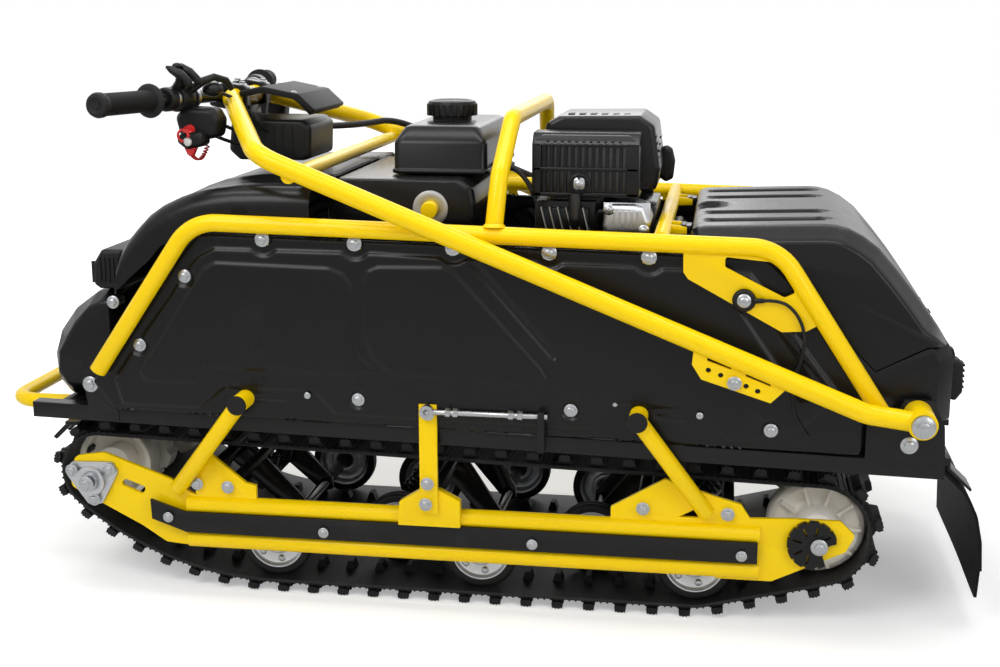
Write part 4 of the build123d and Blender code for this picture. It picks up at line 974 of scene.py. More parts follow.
    def build(self) -> None:
        """Builds the track's pieces."""
        self._belt().piece("track_belt_skin", RUBBER, "track_belt", smooth=50)
        for name, maker, count, offset in (("track_lugs", self._lug(), self.lug_count, self.thickness),
                                           ("track_guide_lugs", self._guide(), self.lug_count, 0.0),
                                           ("track_cross_ribs", self._rib(), self.lug_count * self.ribs_each,
                                            self.thickness)):
            shape = bpy.data.objects.new("one_of_" + name, maker.mesh("one_of_" + name))
            made = grow(name, loop_tree(), {"Count": count, "Shape": shape}, RUBBER, self._loop_mesh(offset))
            dress(made, RUBBER, Body.HULL, smooth=25)
            bpy.data.objects.remove(shape)


@dataclass
class RoadWheels:
    """Tyres, pressed rims and their bolts."""

    seats: Sequence[Point] = ((320, 219), (-25, 219), (-371, 219), (130, 133), (-200, 133))
    axle_z: float = 84.8
    bolt_ring: float = 34.0
    bolts_each: int = 6

    def build(self) -> None:
        """Builds tyres, rims, hubs and bolts."""
        tyre = [(47.6, -12.5), (55, -13), (58.6, -12), (60.8, -9), (61, -3), (59.6, -1.2), (59.6, 1.2),
                (61, 3), (60.8, 9), (58.6, 12), (55, 13), (47.6, 12.5)]
        rim = [(16, -6), (24, -6), (26, 1), (40, 1), (43, -9), (48, -11), (48, 11.4), (45.6, 11.4), (43.5, 7),
               (41, 5), (25, 5), (22, 8), (19, 8), (19, 4), (16, 4)]
        hub = [(10, -7), (16.2, -7), (16.2, 10), (14, 12), (10, 12)]
        tyres, rims, hubs, spots = Maker(), Maker(), Maker(), []
        for x, y in self.seats:
            centre = (x, y, self.axle_z)
            tyres.lathe(centre, tyre)
            rims.lathe(centre, rim)
            hubs.lathe(centre, hub, 32)
            for i in range(self.bolts_each):
                across, up = polar(FULL_TURN * (i + 0.3) / self.bolts_each, self.bolt_ring)
                spots.append((x + across, y + 5, self.axle_z + up))
        tyres.both_sides().piece("road_wheel_tyres", RUBBER, "road_tyres", smooth=40)
        rims.both_sides().piece("road_wheel_rims", RIM_SILVER, "road_rims", smooth=40, bevel=0.6)
        hubs.both_sides().piece("road_wheel_hubs", DARK_STEEL, smooth=40)
        bolt_set("road_wheel_bolts", BoltSize(4.4, 3.6, 6.4), spots)


@dataclass
class Spring:
    """One pair of springs: foot and top in the side plane, and the top tube's radius."""

    foot: tuple[float, float]
    top: tuple[float, float]
    top_radius: float


@dataclass
class Suspension:
    """Coil springs over dampers, from the bogies to the cross tubes."""

    springs: Sequence[Spring] = (Spring((394, 126), (380, 193), 10), Spring((140, 112), (44, 226), 8),
                                 Spring((-358, 110), (-420, 191), 10))
    spring_y: float = 45.0
    foot_radius: float = 8.0
    gap: float = 0.3
    coil_radius: float = 13.5
    wire_radius: float = 2.6
    longest_coil: float = 62.0

    def build(self) -> None:
        """Builds coils and dampers."""
        body, rod = Maker(), Maker()
        for i, spring in enumerate(self.springs):
            spots, ways = [], []
            for y in (-self.spring_y, self.spring_y):
                foot, top = (Vector((x, y, z)) for x, z in (spring.foot, spring.top))
                along = (top - foot).normalized()
                low = foot + along * (self.foot_radius + self.gap)
                high = top - along * (spring.top_radius + self.gap)
                length = (high - low).length
                body.tube([low + along * t for t in (0, 3, 3.1, length * 0.55)], [15, 15, 7.5, 7.5])
                rod.tube([low + along * length * 0.5, high], 4.2, 16)
                spots.append(low + along * 4)
                ways.append(along)
            values = {"Turns": 6.5, "Coil Radius": self.coil_radius * MILLIMETRE,
                      "Wire Radius": self.wire_radius * MILLIMETRE,
                      "Length": min(length * 0.72, self.longest_coil) * MILLIMETRE}
            seats = points_mesh(f"coil_seats_{i + 1}", spots, ways)
            dress(grow(f"coil_springs_{i + 1}", coil_tree(), values, DARK_STEEL, seats), DARK_STEEL,
                  Body.HULL, smooth=60)
        body.piece("damper_bodies", BLACK_PAINT, "suspension_springs")
        rod.piece("damper_rods", ZINC)


@dataclass
class Drums:
    """Flared rear idler drums."""

    idler: Point = (-559.0, 198.0, 150.0)
    rib_count: int = 10
    rib_ring: float = 54.0

    def build(self) -> None:
        """Builds the drums with their ribs."""
        drum = [(15.2, -24), (77.7, -24), (77.7, -3), (74, 4), (66, 9), (60, 8), (46, 4), (38, 10), (30, 36),
                (24, 40), (15.2, 40)]
        Maker().lathe(self.idler, drum, 72).both_sides().piece("rear_idler_drums", CREAM, "rear_idlers",
                                                               smooth=40, bevel=0.8)
        x, y, z = self.idler
        for side in Side:
            bar_ring("idler_ribs_" + side.label, CREAM, self.rib_count, self.rib_ring, (30, 5, 11),
                     (x, side.value * (y + 10), z), (side.value * QUARTER_TURN, 0, 0))


# Frames and their fasteners


@dataclass
class TrackFrame:
    """Yellow side beams, rub strips, hangers, bearings and tension rods."""

    beam_face: float = 286.2
    strip_face: float = 300.8
    post_face: float = 316.3
    plug_face: float = 348.2

    def build(self) -> None:
        """Dresses the frame's nodes and adds the fasteners."""
        for node, finish, bevel in (("track_beam_left", YELLOW, 1.2), ("track_beam_right", YELLOW, 1.2),
                                    ("rub_strips", STRIP_RUBBER, 0.8), ("carrier_tubes", YELLOW, 0.8),
                                    ("shaft_bearings", ALLOY, 1.0), ("tension_rods", ZINC, 0.4),
                                    ("cam_adjusters", TRIM_PLASTIC, 0.6),
                                    ("wheel_carriers", BLACK_PAINT, 0.6),
                                    ("track_cross_tubes", BLACK_PAINT, 0.6), ("front_shaft", ZINC, 0.6),
                                    ("front_sprockets", CREAM, 0.6), ("rear_axle", DARK_STEEL, 0.6)):
            refined(node, finish, bevel)
        plugs = Maker()
        for x in (337, -282):
            plugs.tube([(x, self.plug_face, 349), (x, self.plug_face + 2.6, 349)], 15.5, 32)
        plugs.both_sides().piece("carrier_tube_plugs", TRIM_PLASTIC, bevel=0.5)
        beam, strip, post = self.beam_face, self.strip_face, self.post_face
        bolt_set("strip_bolts", M6, [(478, strip, 141.5), (218, strip, 129.5), (-119, strip, 129.5),
                                     (-443, strip, 129.5)])
        bolt_set("gusset_bolts", M8, [(432, beam, 196), (380, beam, 193), (-290, beam, 193),
                                      (-420, beam, 191)])
        bolt_set("post_bolts", M8, [(47, post, 192), (44, post, 226), (43, post - 4.6, 338)])
        bolt_set("bearing_bolts", M8, [(643, 294.4, 211), (578, 294.4, 215), (607, 294.4, 163)])
        bolt_set("shaft_end_bolts", M10, [(612, 310.2, 194), (-559, 299.6, 150)])


@dataclass
class Relief:
    """A raised or sunken field of a pressed panel."""

    corners: Sequence[Point]
    height: float
    slope: float


def nearest(x: float, z: float, corners: Sequence[Point]) -> tuple[float, tuple[float, float]]:
    """Finds a polygon's outline beside a place.

    Args:
        x: the place's first coordinate.
        z: its second coordinate.
        corners: the polygon.

    Returns:
        The signed distance, positive inside, and the nearest spot on the outline.
    """
    best, spot, inside = math.inf, (x, z), False
    for (ax, az), (bx, bz) in zip(corners, list(corners[1:]) + [corners[0]]):
        dx, dz = bx - ax, bz - az
        share = clamped(((x - ax) * dx + (z - az) * dz) / (dx * dx + dz * dz))
        px, pz = ax + dx * share, az + dz * share
        if math.hypot(x - px, z - pz) < best:
            best, spot = math.hypot(x - px, z - pz), (px, pz)
        if (az > z) != (bz > z) and x < (bx - ax) * (z - az) / (bz - az) + ax:
            inside = not inside
    return (best if inside else -best), spot


class SidePanels:
    """Pressed black hull sides with their raised fields and creases."""

    outline = ((560, 322), (592, 366), (540, 436), (470, 536), (405, 610), (-462, 594), (-500, 560),
               (-612, 392), (-612, 300))
    face_y = 304.0
    tab_face = 311.2
    bolt_spots = ((509, 429), (429, 542), (155, 354), (-178, 351), (-479, 333))
    tab_spots = ((299, 604), (154, 601), (2, 598), (-144, 595), (-292, 592))
    rivets = ((374, 382), (236, 358), (56, 364), (21, 357), (-245, 366), (-373, 352))
    fields = (
        Relief([(552, 372), (500, 446), (450, 512), (424, 552), (403, 574), (378, 587), (140, 586), (0, 581),
                (-290, 575), (-440, 570), (-575, 392), (-524, 340), (-449, 316), (-410, 316), (-392, 346),
                (-372, 362), (-244, 364), (-216, 324), (190, 330), (226, 366), (371, 366), (412, 331),
                (541, 332)], 4.6, 6.4),
        Relief([(508, 388), (472, 440), (428, 508), (396, 556), (376, 566), (196, 562), (172, 553),
                (162, 536),
                (162, 458), (150, 424), (122, 400), (216, 394), (250, 398), (384, 398), (412, 372),
                (500, 372)],
               3.2, 5.2),
        Relief([(143, 536), (142, 458), (131, 427), (110, 407), (84, 397), (-132, 388), (-143, 398),
                (-132, 416), (2, 562), (18, 568), (118, 566), (136, 558)], 3.2, 5.2),
        Relief([(-22, 574), (-150, 430), (-158, 434), (-32, 578)], -3.4, 5.0),
        Relief([(-560, 392), (-520, 380), (-420, 524), (-440, 540)], -3.4, 5.6),
        Relief([(322, 354), (268, 352), (268, 346), (322, 348)], -2.2, 2.5),
        Relief([(-306, 350), (-354, 346), (-354, 340), (-306, 344)], -2.2, 2.5),
    )
    dimples = ((299, 603, 28), (154, 601, 28), (2, 598, 28), (-144, 594, 28), (-292, 590, 28), (429, 542, 18),
               (509, 429, 18), (155, 354, 16), (-178, 351, 16), (-479, 333, 17))
    dimple_slope = 6.0
    edge_width = 5.0
    wall = 3.0
    cell = 3.0

    def _height(self, x: float, z: float) -> float:
        """Relief at a place on the panel."""
        total = sum(field.height * eased(0.5 + nearest(x, z, field.corners)[0] / field.slope)
                    for field in self.fields)
        for cx, cz, radius in self.dimples:
            total *= 1 - eased((radius - math.hypot(x - cx, z - cz)) / self.dimple_slope)
        return total

    def _skin(self, side: Side, corners: Sequence[Point]) -> bpy.types.Mesh:
        """Builds one panel's open skin, in metres, over a grid that ends on its outline."""
        (x0, x1), (z0, z1) = ((min(c[i] for c in corners), max(c[i] for c in corners)) for i in (0, 1))
        columns, rows = int((x1 - x0) / self.cell), int((z1 - z0) / self.cell)
        skin, grid = bmesh.new(), {}
        for i in range(columns + 1):
            for k in range(rows + 1):
                x, z = x0 + (x1 - x0) * i / columns, z0 + (z1 - z0) * k / rows
                depth, spot = nearest(x, z, corners)
                if depth > -self.cell * 1.5:
                    x, z = spot if depth < 0 else (x, z)
                    edge = clamped(depth / self.edge_width)
                    y = self.face_y - self.wall * (1 - edge) ** 2 + self._height(x, z) * edge
                    grid[i, k] = skin.verts.new((x * MILLIMETRE, side.value * y * MILLIMETRE, z * MILLIMETRE))
        for i in range(columns):
            for k in range(rows):
                square = [grid.get(c) for c in ((i, k), (i + 1, k), (i + 1, k + 1), (i, k + 1))]
                if all(square):
                    skin.faces.new(square[::-side.value])
        bmesh.ops.remove_doubles(skin, verts=skin.verts, dist=2 * MERGE_DISTANCE * MILLIMETRE)
        mesh = bpy.data.meshes.new("side_panel_skin")
        skin.to_mesh(mesh)
        skin.free()
        return mesh

    def build(self) -> None:
        """Builds both panels with their bolts and rivets."""
        corners = rounded(self.outline, 8)
        for side in Side:
            made = placed("side_panel_skin_" + side.label, self._skin(side, corners))
            shaped(made, self.wall)
            dress(made, HULL_PLASTIC, Body.HULL, ["side_panel_" + side.label], 70)
        for name, size, face, spots in (("panel_bolts", M8, self.face_y + 0.3, self.bolt_spots),
                                        ("tab_bolts", BoltSize(7.5, 6.5, 11.5, 2.0), self.tab_face,
                                         self.tab_spots),
                                        ("panel_rivets", RIVET, self.face_y + 2.6, self.rivets)):
            bolt_set(name, size, [(x, face, z) for x, z in spots])


@dataclass
class HullFrame:
    """Yellow rails round the hull, hoop, bumper, chassis and rear brackets."""

    catch: Point = (-432, 321.4, 534)
    cable_thickness: float = 5.0
    cable: Sequence[Point] = ((-461, 326, 535), (-485, 328, 537), (-508, 328, 519), (-521, 326, 490),
                              (-521, 318, 455), (-510, 314, 420), (-507, 313, 382), (-516, 312, 350),
                              (-534, 310, 326))

    def build(self) -> None:
        """Dresses the frame and adds its fasteners."""
        for side in Side:
            refined("hull_rail_" + side.label, YELLOW, 0.8)
            refined("chassis_rail_" + side.label, BLACK_PAINT, 1.2)
        for node, finish, bevel in (("hull_cross_tube", YELLOW, 0.8), ("roll_hoop", YELLOW, 0.8),
                                    ("front_bumper", YELLOW, 0.8), ("chassis_cross", BLACK_PAINT, 0.6),
                                    ("engine_bed", BLACK_PAINT, 0.6), ("skid_grille", BLACK_PAINT, 0.6),
                                    ("pivot_bolts", ZINC, 0.6), ("flap_hinge", BLACK_PAINT, 0.6)):
            refined(node, finish, bevel)
        self._catches()
        bolt_set("bracket_bolts", M10, [(-681, 303.6, 319), (598, 299.6, 360)])
        bolt_set("pivot_bolt_heads", BoltSize(10.0, 6.0, 15.5, 2.5), [(-690, 377.4, 368)])
        foot = Maker().lathe((-62, 316.5, 632.2), [(13.2, 0), (17.5, 0), (17, 1.6), (13.2, 5.5)], 32,
                             (0, -0.08, 1))
        foot.both_sides().piece("hoop_weld_beads", YELLOW)

    def _catches(self) -> None:
        """Builds the rimmed pins that hold the lid's cables, and the cables."""
        washer = [(7, 0), (17, 0), (17.4, 2), (16, 5), (12, 6.5), (9.5, 6.5), (7, 6.5)]
        maker = Maker().lathe(self.catch, washer, 40)
        maker.tube([(-446, 326, 534), (-452, 326, 534.3), (-461, 326, 535)], [4.4, 3.9, 3.5], 16)
        maker.both_sides().piece("lid_catch_rims", TRIM_PLASTIC, "lid_catches", bevel=0.4)
        bolt_set("lid_catch_bolts", BoltSize(8.0, 7.5, 11.0, 2.0), [(-432, 327.4, 534)])
        for side in Side:
            free_cord("lid_cable_" + side.label, [(x, side.value * y, z) for x, y, z in self.cable],
                      self.cable_thickness, ["lid_cables"])


@dataclass
class FrontBody:
    """Hood, nose and lamps."""

    half_width: float = 299.6
    shoulder: float = 30.0
    crown: float = 3.0

    def _section(self, x: float, top: float, bottom: float) -> list[Point]:
        """One cross section of the hood, from the right edge to the left.

        Args:
            x: its place.
            top: height of the middle.
            bottom: height of the lower edge.

        Returns:
            The section's points.
        """
        radius = max(2.0, min(self.shoulder, (top - bottom) * 0.7))
        half: list[Point] = [(x, self.half_width, bottom), (x, self.half_width, (bottom + top - radius) / 2)]
        for a, b in (polar(QUARTER_TURN * i / 8, radius) for i in range(9)):
            half.append((x, self.half_width - radius + a, top - self.crown - radius + b))
        inner = self.half_width - radius
        for y in (inner * (1 - i / 30) for i in range(1, 31)):
            ridge = clamped((168 - y) / 12) - clamped((128 - y) / 10) * 0.35
            valley = math.exp(-((y - 205) / 22) ** 2)
            rise = (3.4 * ridge - 3.0 * valley) * clamped((top - 560) / 60)
            half.append((x, y, top - self.crown * (y / inner) ** 2 + rise - 2.0))
        return mirrored(half)

    def build(self) -> None:
        """Builds the front body's pieces."""
        stations = [(548, 527, 508.5), (546.5, 545, 509), (544, 566, 516), (536, 584, 522), (524, 601, 534),
                    (508, 619, 548), (490, 637, 564), (468, 652, 588), (440, 665, 598), (412, 675, 600),
                    (380, 681, 600), (349, 684.5, 600), (300, 686, 600), (260, 686, 600), (227, 686, 600)]
        Maker().skin([self._section(*station) for station in stations]).piece(
            "hood_skin", HULL_PLASTIC, "front_hood", smooth=50, wall=4.0)
        nose = rounded([(560, 323.3), (612, 323.3), (660, 323.3), (683, 350), (687, 392), (675, 432),
                        (646, 471), (606, 500), (582, 507.6), (560, 507.6)], 16, 6)
        edge = ((0.0, 30.0), (1.0, 25.0), (3.0, 22.0), (6.0, 20.0), (26.0, 4.0), (32.0, 1.2), (40.0, 0.0))
        Maker().crowned(nose, -262, 262, edge).piece("nose_skin", HULL_PLASTIC, "nose_panel", smooth=28)
        boss = Maker().tube([(568, 236, 488), (568, 262, 488)], 10, 24)
        boss.both_sides().piece("nose_bosses", TRIM_PLASTIC, bevel=1.0)
        bolt_set("nose_bolts", M8, [(568, 262.4, 488)])
        self._lamps()
        bolt_set("hood_screws", RIVET, [(374, 299.4, 632), (317, 299.4, 628), (248, 299.4, 628)])
        # A matt black disc on each hood side stands in for a shaded hole there: painted shade, not a boss.
        boss = Maker().tube([(337, 296, 641), (337, 300.2, 641)], 14, 28)
        boss.both_sides().piece("hood_bosses", MATT_PLASTIC, bevel=1.0)

    def _lamps(self) -> None:
        """Builds the lamp housings, lenses, frames and cooling ribs."""
        shell = rounded([(548.6, 508.8), (590, 508.8), (600, 516), (598, 552), (584, 573), (548.6, 573.6)], 7)
        lens = rounded([(598, 519), (602.5, 521), (600.5, 550), (589, 567), (585, 566)], 3, 3)
        bars = Maker()
        for y in (107, 181, 252):
            bars.box(597, 604, y, y + 3.5, 518, 553)
        Maker().pillow(shell, 100, 262, 8).both_sides().piece("lamp_housings", TRIM_PLASTIC, "headlights",
                                                              smooth=50)
        Maker().pillow(lens, 112, 250, 5).both_sides().piece("lamp_lenses", GLOSS_BLACK, smooth=50)
        bars.both_sides().piece("lamp_frames", TRIM_PLASTIC, bevel=0.6)
        for side in Side:
            bar_row("lamp_side_ribs_" + side.label, TRIM_PLASTIC, 5, (556, side.value * 262.5, 541),
                    (7.5, 0, 0), (3, 3, 40))


@dataclass
class RearLid:
    """Hinged rear lid with its pressed grooves, finger recess and sloping shoulders."""

    half_width: float = 284.0
    shoulder: float = 46.0
    shoulder_line: Sequence[Point] = ((0.0, 25.0), (0.6, 22.4), (2.2, 20.0), (4.8, 18.2), (12.0, 14.8),
                                      (22.0, 9.9), (31.0, 5.4), (36.5, 2.7), (41.0, 0.9), (46.0, 0.0))
    ridge_line: Sequence[Point] = ((-350.3, 606.8), (-350.3, 617), (-353, 624), (-360, 628.6), (-370, 631),
                                   (-420, 632.8), (-500, 635.6), (-545, 637), (-564, 636), (-582, 631.5),
                                   (-604, 620.5), (-628, 603), (-658, 569), (-690, 529), (-721, 486),
                                   (-731, 470))
    split_line: Sequence[Point] = ((-700, 463.5), (-628, 425.5), (-470, 586.5))
    bands: Sequence[float] = (-182.0, -95.0, 95.0, 182.0)
    band_half: float = 21.0
    groove: float = 7.0
    recess: float = 11.0
    dip: float = 3.0
    row_step: float = 7.0
    columns: int = 50

    def _relief(self, x: float, y: float) -> float:
        """Depth of the grooves, the finger recess and the dip over the slope at a place on the lid."""
        along = clamped(min((-366 - x) / 12, (x + 566) / 22))
        groove = max(clamped((self.band_half - abs(y - band)) / 8) * along for band in self.bands)
        finger = clamped((46 - math.hypot(max(0.0, -372 - x) * 1.25, y)) / 10) * clamped((-351 - x) / 12)
        slope = clamped(min((-612 - x) / 30, (x + 722) / 26)) * clamped((150 - abs(y)) / 18)
        return self.groove * eased(groove) + self.recess * eased(finger) + self.dip * eased(slope)

    def _rows(self) -> list[list[Point]]:
        """Cross rows from the hinge edge back over the top to the lower edge."""
        fine: list[Point] = []
        for (ax, az), (bx, bz) in zip(self.ridge_line, self.ridge_line[1:]):
            steps = max(1, int(math.hypot(bx - ax, bz - az) / self.row_step))
            fine += [(ax + (bx - ax) * i / steps, az + (bz - az) * i / steps) for i in range(steps)]
        fine.append(self.ridge_line[-1])
        rows, last, inner = [], len(fine) - 1, self.half_width - self.shoulder
        for i, (x, z) in enumerate(fine):
            (ax, az), (bx, bz) = fine[max(i - 2, 0)], fine[min(i + 2, last)]
            along = Vector((bx - ax, bz - az)).normalized()
            share = min(1.0, 0.25 + 0.19 * (last - i))
            sunk = [(self.half_width - inset, drop * share) for inset, drop in self.shoulder_line]
            across = [inner * (1 - k / self.columns) for k in range(1, self.columns + 1)]
            sunk += [(y, self._relief(x, y)) for y in across]
            rows.append(mirrored([(x - along.y * sink, y, z + along.x * sink) for y, sink in sunk]))
        return rows

    def build(self) -> None:
        """Builds the lid, its side walls and hinges."""
        rows = self._rows()
        maker = Maker().skin(rows)
        side = [(row[-1][0], row[-1][2]) for row in rows] + list(self.split_line)
        for sign in (1, -1):
            maker.faces([(x, sign * self.half_width, z) for x, z in side], [tuple(range(len(side)))])
        maker.piece("rear_lid_skin", HULL_PLASTIC, "rear_lid", body=Body.LID, smooth=40, wall=4.0)
        hinge = Maker().lathe((-338, 150, 616), [(4.4, 0), (7.5, 0), (7.5, 40), (4.4, 40)], 28)
        hinge.box(-349.8, -342, 151, 189, 610, 622)
        hinge.both_sides().piece("lid_hinge_knuckles", BLACK_PAINT, body=Body.LID, bevel=0.5)


@dataclass
class Tail:
    """Tail box under the lid, its latches, and the mud flap."""

    flap_half: float = 240.0
    flap_line: Sequence[Point] = ((-746, 0, 262), (-782, 0, 228), (-799, 0, 192), (-808, 0, 150),
                                  (-811, 0, 104), (-811, 0, 50))

    def build(self) -> None:
        """Builds the tail's pieces."""
        refined("tail_box", HULL_PLASTIC, 2.0)
        latch = rounded([(-743, 370), (-756, 366), (-766, 380), (-765, 424), (-758, 430), (-743, 431)], 5)
        arm = rounded([(-743, 428), (-751, 426), (-753, 436), (-750, 446), (-743.5, 448)], 4, 3)
        body = Maker().pillow(latch, 180, 216, 6).pillow(arm, 188, 208, 3)
        body.both_sides().piece("latch_bodies", GRIP_RUBBER, "lid_latches", smooth=50)
        for side in Side:
            bar_row("latch_ribs_" + side.label, GRIP_RUBBER, 5, (-766, side.value * 198, 388), (0, 0, 8.5),
                    (3, 30, 3))
        self._flap()

    def _flap(self) -> None:
        """Builds the curved rubber flap, narrower at its foot."""
        line = bent_line(self.flap_line, 60, 5)
        rows, narrowing, from_share = [], 26.0, 0.86
        for i, spot in enumerate(line):
            low = max(0.0, i / (len(line) - 1) - from_share) / (1 - from_share)
            half = self.flap_half - narrowing * low ** 2
            rows.append([(spot.x + 1.6 * math.cos(math.pi * k / 20) ** 2, half * (k / 10 - 1), spot.z)
                         for k in range(21)])
        Maker().skin(rows).piece("mud_flap_skin", FLAP_RUBBER, "mud_flap", smooth=60, wall=4.6)


# Engine, tank and drive


@dataclass
class Engine:
    """Engine with its slotted muffler guard, fan housing, starter, head and fittings."""

    guard_x: tuple[float, float] = (-268.0, -102.0)
    guard_y: tuple[float, float] = (128.0, 196.0)
    guard_z: tuple[float, float] = (664.5, 762.0)
    slot_step: float = 10.8
    slot_count: int = 13

    def _guard(self) -> None:
        """Builds the muffler's slotted guard."""
        (x0, x1), (y0, y1), (z0, z1) = self.guard_x, self.guard_y, self.guard_z
        core = rounded([(x0 + 4, z0 + 1), (x1 - 4, z0 + 1), (x1 - 4, z1 - 12), (x1 - 16, z1 - 3),
                        (x0 + 16, z1 - 3), (x0 + 4, z1 - 12)], 6, 3)
        Maker().prism(core, y0, y1 - 5).piece("muffler_core", DARK_STEEL, "muffler_guard", bevel=1.5)
        rails = Maker()
        for low, high in ((z0, z0 + 6), (704, 709.5), (743, z1 - 16)):
            rails.box(x0 + 1, x1 - 1, y1 - 4, y1, low, high)
        for low, high in ((x0, x0 + 20), (x1 - 14, x1)):
            rails.box(low, high, y1 - 4, y1, z0, z1 - 16)
        roof = [(y0, z1), (y1 - 17, z1), (y1, z1 - 17), (y1, z1 - 20), (y1 - 5, z1 - 20), (y1 - 20, z1 - 4),
                (y0, z1 - 4)]
        rails.rings([[(x, y, z) for y, z in roof] for x in (x0, x1)])
        for x in (x0, x1 - 4):
            rails.box(x, x + 4, y0, y1 - 3, z0, z1 - 20)
        rails.box(x0, x1, y0, y1, z0 - 0.2, z0 + 2.5)
        rails.piece("guard_frame", ENGINE_BLACK, bevel=1.6, segments=3)
        first = x1 - 14 - self.slot_step * 0.5
        for name, z in (("lower", 687), ("upper", 727)):
            bar_row("guard_bars_" + name, ENGINE_BLACK, self.slot_count, (first, y1 - 2.2, z),
                    (-self.slot_step, 0, 0), (4.9, 4.0, 40.0), bevel=0.8)
        # Thin matt black bars on the roof slope stand in for the shaded openings of its slots: painted shade.
        bar_row("guard_roof_slots", RUBBER, 11, (x1 - 24, y1 - 7.9, z1 - 7.9), (-11.2, 0, 0),
                (4.4, 1.2, 15.0), (math.radians(45), 0, 0), 0.2)
        boss = Maker().lathe((-176, y1 - 4, 684), [(2, 0), (17, 0), (17, 4.2), (14, 5), (12, 2.4), (2, 2.4)],
                             36)
        boss.piece("guard_boss", ENGINE_BLACK)
        bolt_set("guard_bolt", M8, [(-176, y1 - 1.4, 684)], mirror=False)

    def _housing(self) -> None:
        """Builds the fan housing over the engine and the starter beside it."""
        shape = rounded([(-290, 664), (-296, 700), (-286, 768), (-262, 784), (-134, 782), (-112, 770),
                         (-108, 664)],
                        12, 5)
        Maker().pillow(shape, -69.6, 109.8, 10).piece("fan_housing", ENGINE_BLACK, "engine_shroud", smooth=50)
        # Flat matt black bars on the housing roof stand in for the shaded openings of its slots: painted
        # shade.
        bar_row("housing_roof_slots", RUBBER, 6, (-150, 70, 783.4), (-18, 0, 0), (10.0, 22.0, 1.4))
        bar_row("housing_side_ribs", ENGINE_BLACK, 7, (-295, 78, 750), (0.8, 0, -11), (2.4, 46.0, 4.0))
        drum = [(2, -42), (40, -42), (60, -38), (72, -28), (77.6, -10), (77.6, -0.4), (2, -0.4)]
        Maker().lathe((-200, -70.2, 640), drum, 56).piece("starter_cover", ENGINE_BLACK, "recoil_starter",
                                                          smooth=50)
        # Flat matt black bars on the starter face stand in for the shaded openings of its slots: painted
        # shade.
        bar_ring("starter_slots", RUBBER, 20, 52.0, (18.0, 5.0, 2.4), (-200, -110.6, 640),
                 (QUARTER_TURN, 0, 0))
        handle = rounded([(-300, 726), (-292, 722), (-284, 690), (-288, 672), (-300, 664), (-312, 670),
                          (-315, 700), (-310, 720)], 7)
        pull = Maker().pillow(handle, -46, -18, 9).tube([(-296, -32, 700), (-286, -32, 702)], 6, 16)
        pull.piece("starter_handle", TRIM_PLASTIC, smooth=50)

    def _block(self) -> None:
        """Builds the head cover, fins, pipe and small fittings."""
        refined("engine_block", ENGINE_BLACK, 1.5)
        refined("exhaust_pipe", DARK_STEEL)
        cover = rounded([(-284, 612), (-288, 628), (-280, 650), (-262, 655), (-228, 655), (-216, 646),
                         (-213.8, 620), (-218, 611)], 7)
        head = Maker().pillow(cover, 112.6, 214, 9).box(-286, -213.8, 186, 192, 609, 656)
        head.piece("rocker_cover", ALLOY, "head_cover", smooth=45, bevel=0.8)
        bar_row("rocker_ribs", ALLOY, 5, (-268, 214, 633), (9, 0, 0), (3, 3, 26))
        bolt_set("rocker_bolts", M6, [(-278, 214.6, 617), (-224, 214.6, 648)], mirror=False)
        bar_row("cylinder_fins", ALLOY, 6, (-122, 188, 626), (-13, 0, 0), (1.8, 20.0, 44.0),
                (0, math.radians(14), 0), 0.3)
        filter_box = rounded([(-300, 600), (-332, 604), (-336, 560), (-300, 552)], 8, 3)
        Maker().pillow(filter_box, -60, 60, 8).piece("air_filter", TRIM_PLASTIC, smooth=50)
        free_cord("spark_lead", [(-214, 190, 640), (-205, 197, 648), (-200, 160, 600), (-196, 120, 560)], 6.4)

    def build(self) -> None:
        """Builds the engine's pieces."""
        self._guard()
        self._housing()
        self._block()


@dataclass
class TankAndDrive:
    """Fuel tank with its cap, and the long drive cover under it."""

    cap_centre: Point = (60.0, 0.0, 766.3)
    cap_radius: float = 40.0

    @staticmethod
    def _ring(x0: float, x1: float, y: float, z: float, corner: float) -> list[Point]:
        """One level of the tank, as a rounded rectangle."""
        return [(px, py, z) for px, py in rounded([(x0, -y), (x1, -y), (x1, y), (x0, y)], corner, 5)]

    def build(self) -> None:
        """Builds the tank, cap, cover, washer and stub."""
        levels = ((-24, 130, 152, 690.6, 16), (-26, 132, 154, 692, 16), (-26, 132, 154, 696.5, 16),
                  (-23, 129, 150, 698.5, 14), (-22.5, 128.5, 149.5, 738, 14), (-20, 126, 147, 744, 14),
                  (-8, 114, 132, 763, 12), (-2, 108, 126, 765.8, 12))
        Maker().rings([self._ring(*level) for level in levels]).piece("tank_shell", HULL_PLASTIC, "fuel_tank",
                                                                      smooth=30, bevel=1.4)
        radius = self.cap_radius
        cap = [(2, 0), (radius - 7, 0), (radius - 7, 6), (radius, 8), (radius + 1.5, 26), (radius - 1, 31),
               (radius - 8, 33), (radius - 12, 31), (radius - 16, 31.5), (2, 31.5)]
        Maker().lathe(self.cap_centre, cap, 64, UP).piece("tank_cap", TRIM_PLASTIC, "fuel_cap")
        x, y, z = self.cap_centre
        bar_ring("tank_cap_ribs", TRIM_PLASTIC, 22, radius + 0.8, (3.6, 5.4, 19.0), (x, y, z + 17))
        cover = rounded([(225.4, 617), (225.4, 676), (206, 688), (12, 688), (-10, 674), (-14, 650),
                         (-14, 617)], 12, 5)
        Maker().pillow(cover, -150, 205, 12).piece("drive_cover_skin", HULL_PLASTIC, "drive_cover", smooth=50)
        washer = [(13, 0), (28, 0), (28, 1.8), (13, 1.8)]
        Maker().lathe((57, 205, 643), washer, 40).piece("drive_washer", ALLOY, bevel=0.3)
        Maker().tube([(57, 204, 643), (57, 222, 641)], 13, 32).piece("drive_stub", YELLOW, bevel=1.2)
        free_cord("fuel_hose", [(-24, 60, 700), (-48, 66, 699), (-78, 80, 678), (-98, 92, 640),
                                (-108, 100, 600)],
                  8.0)


# Steering


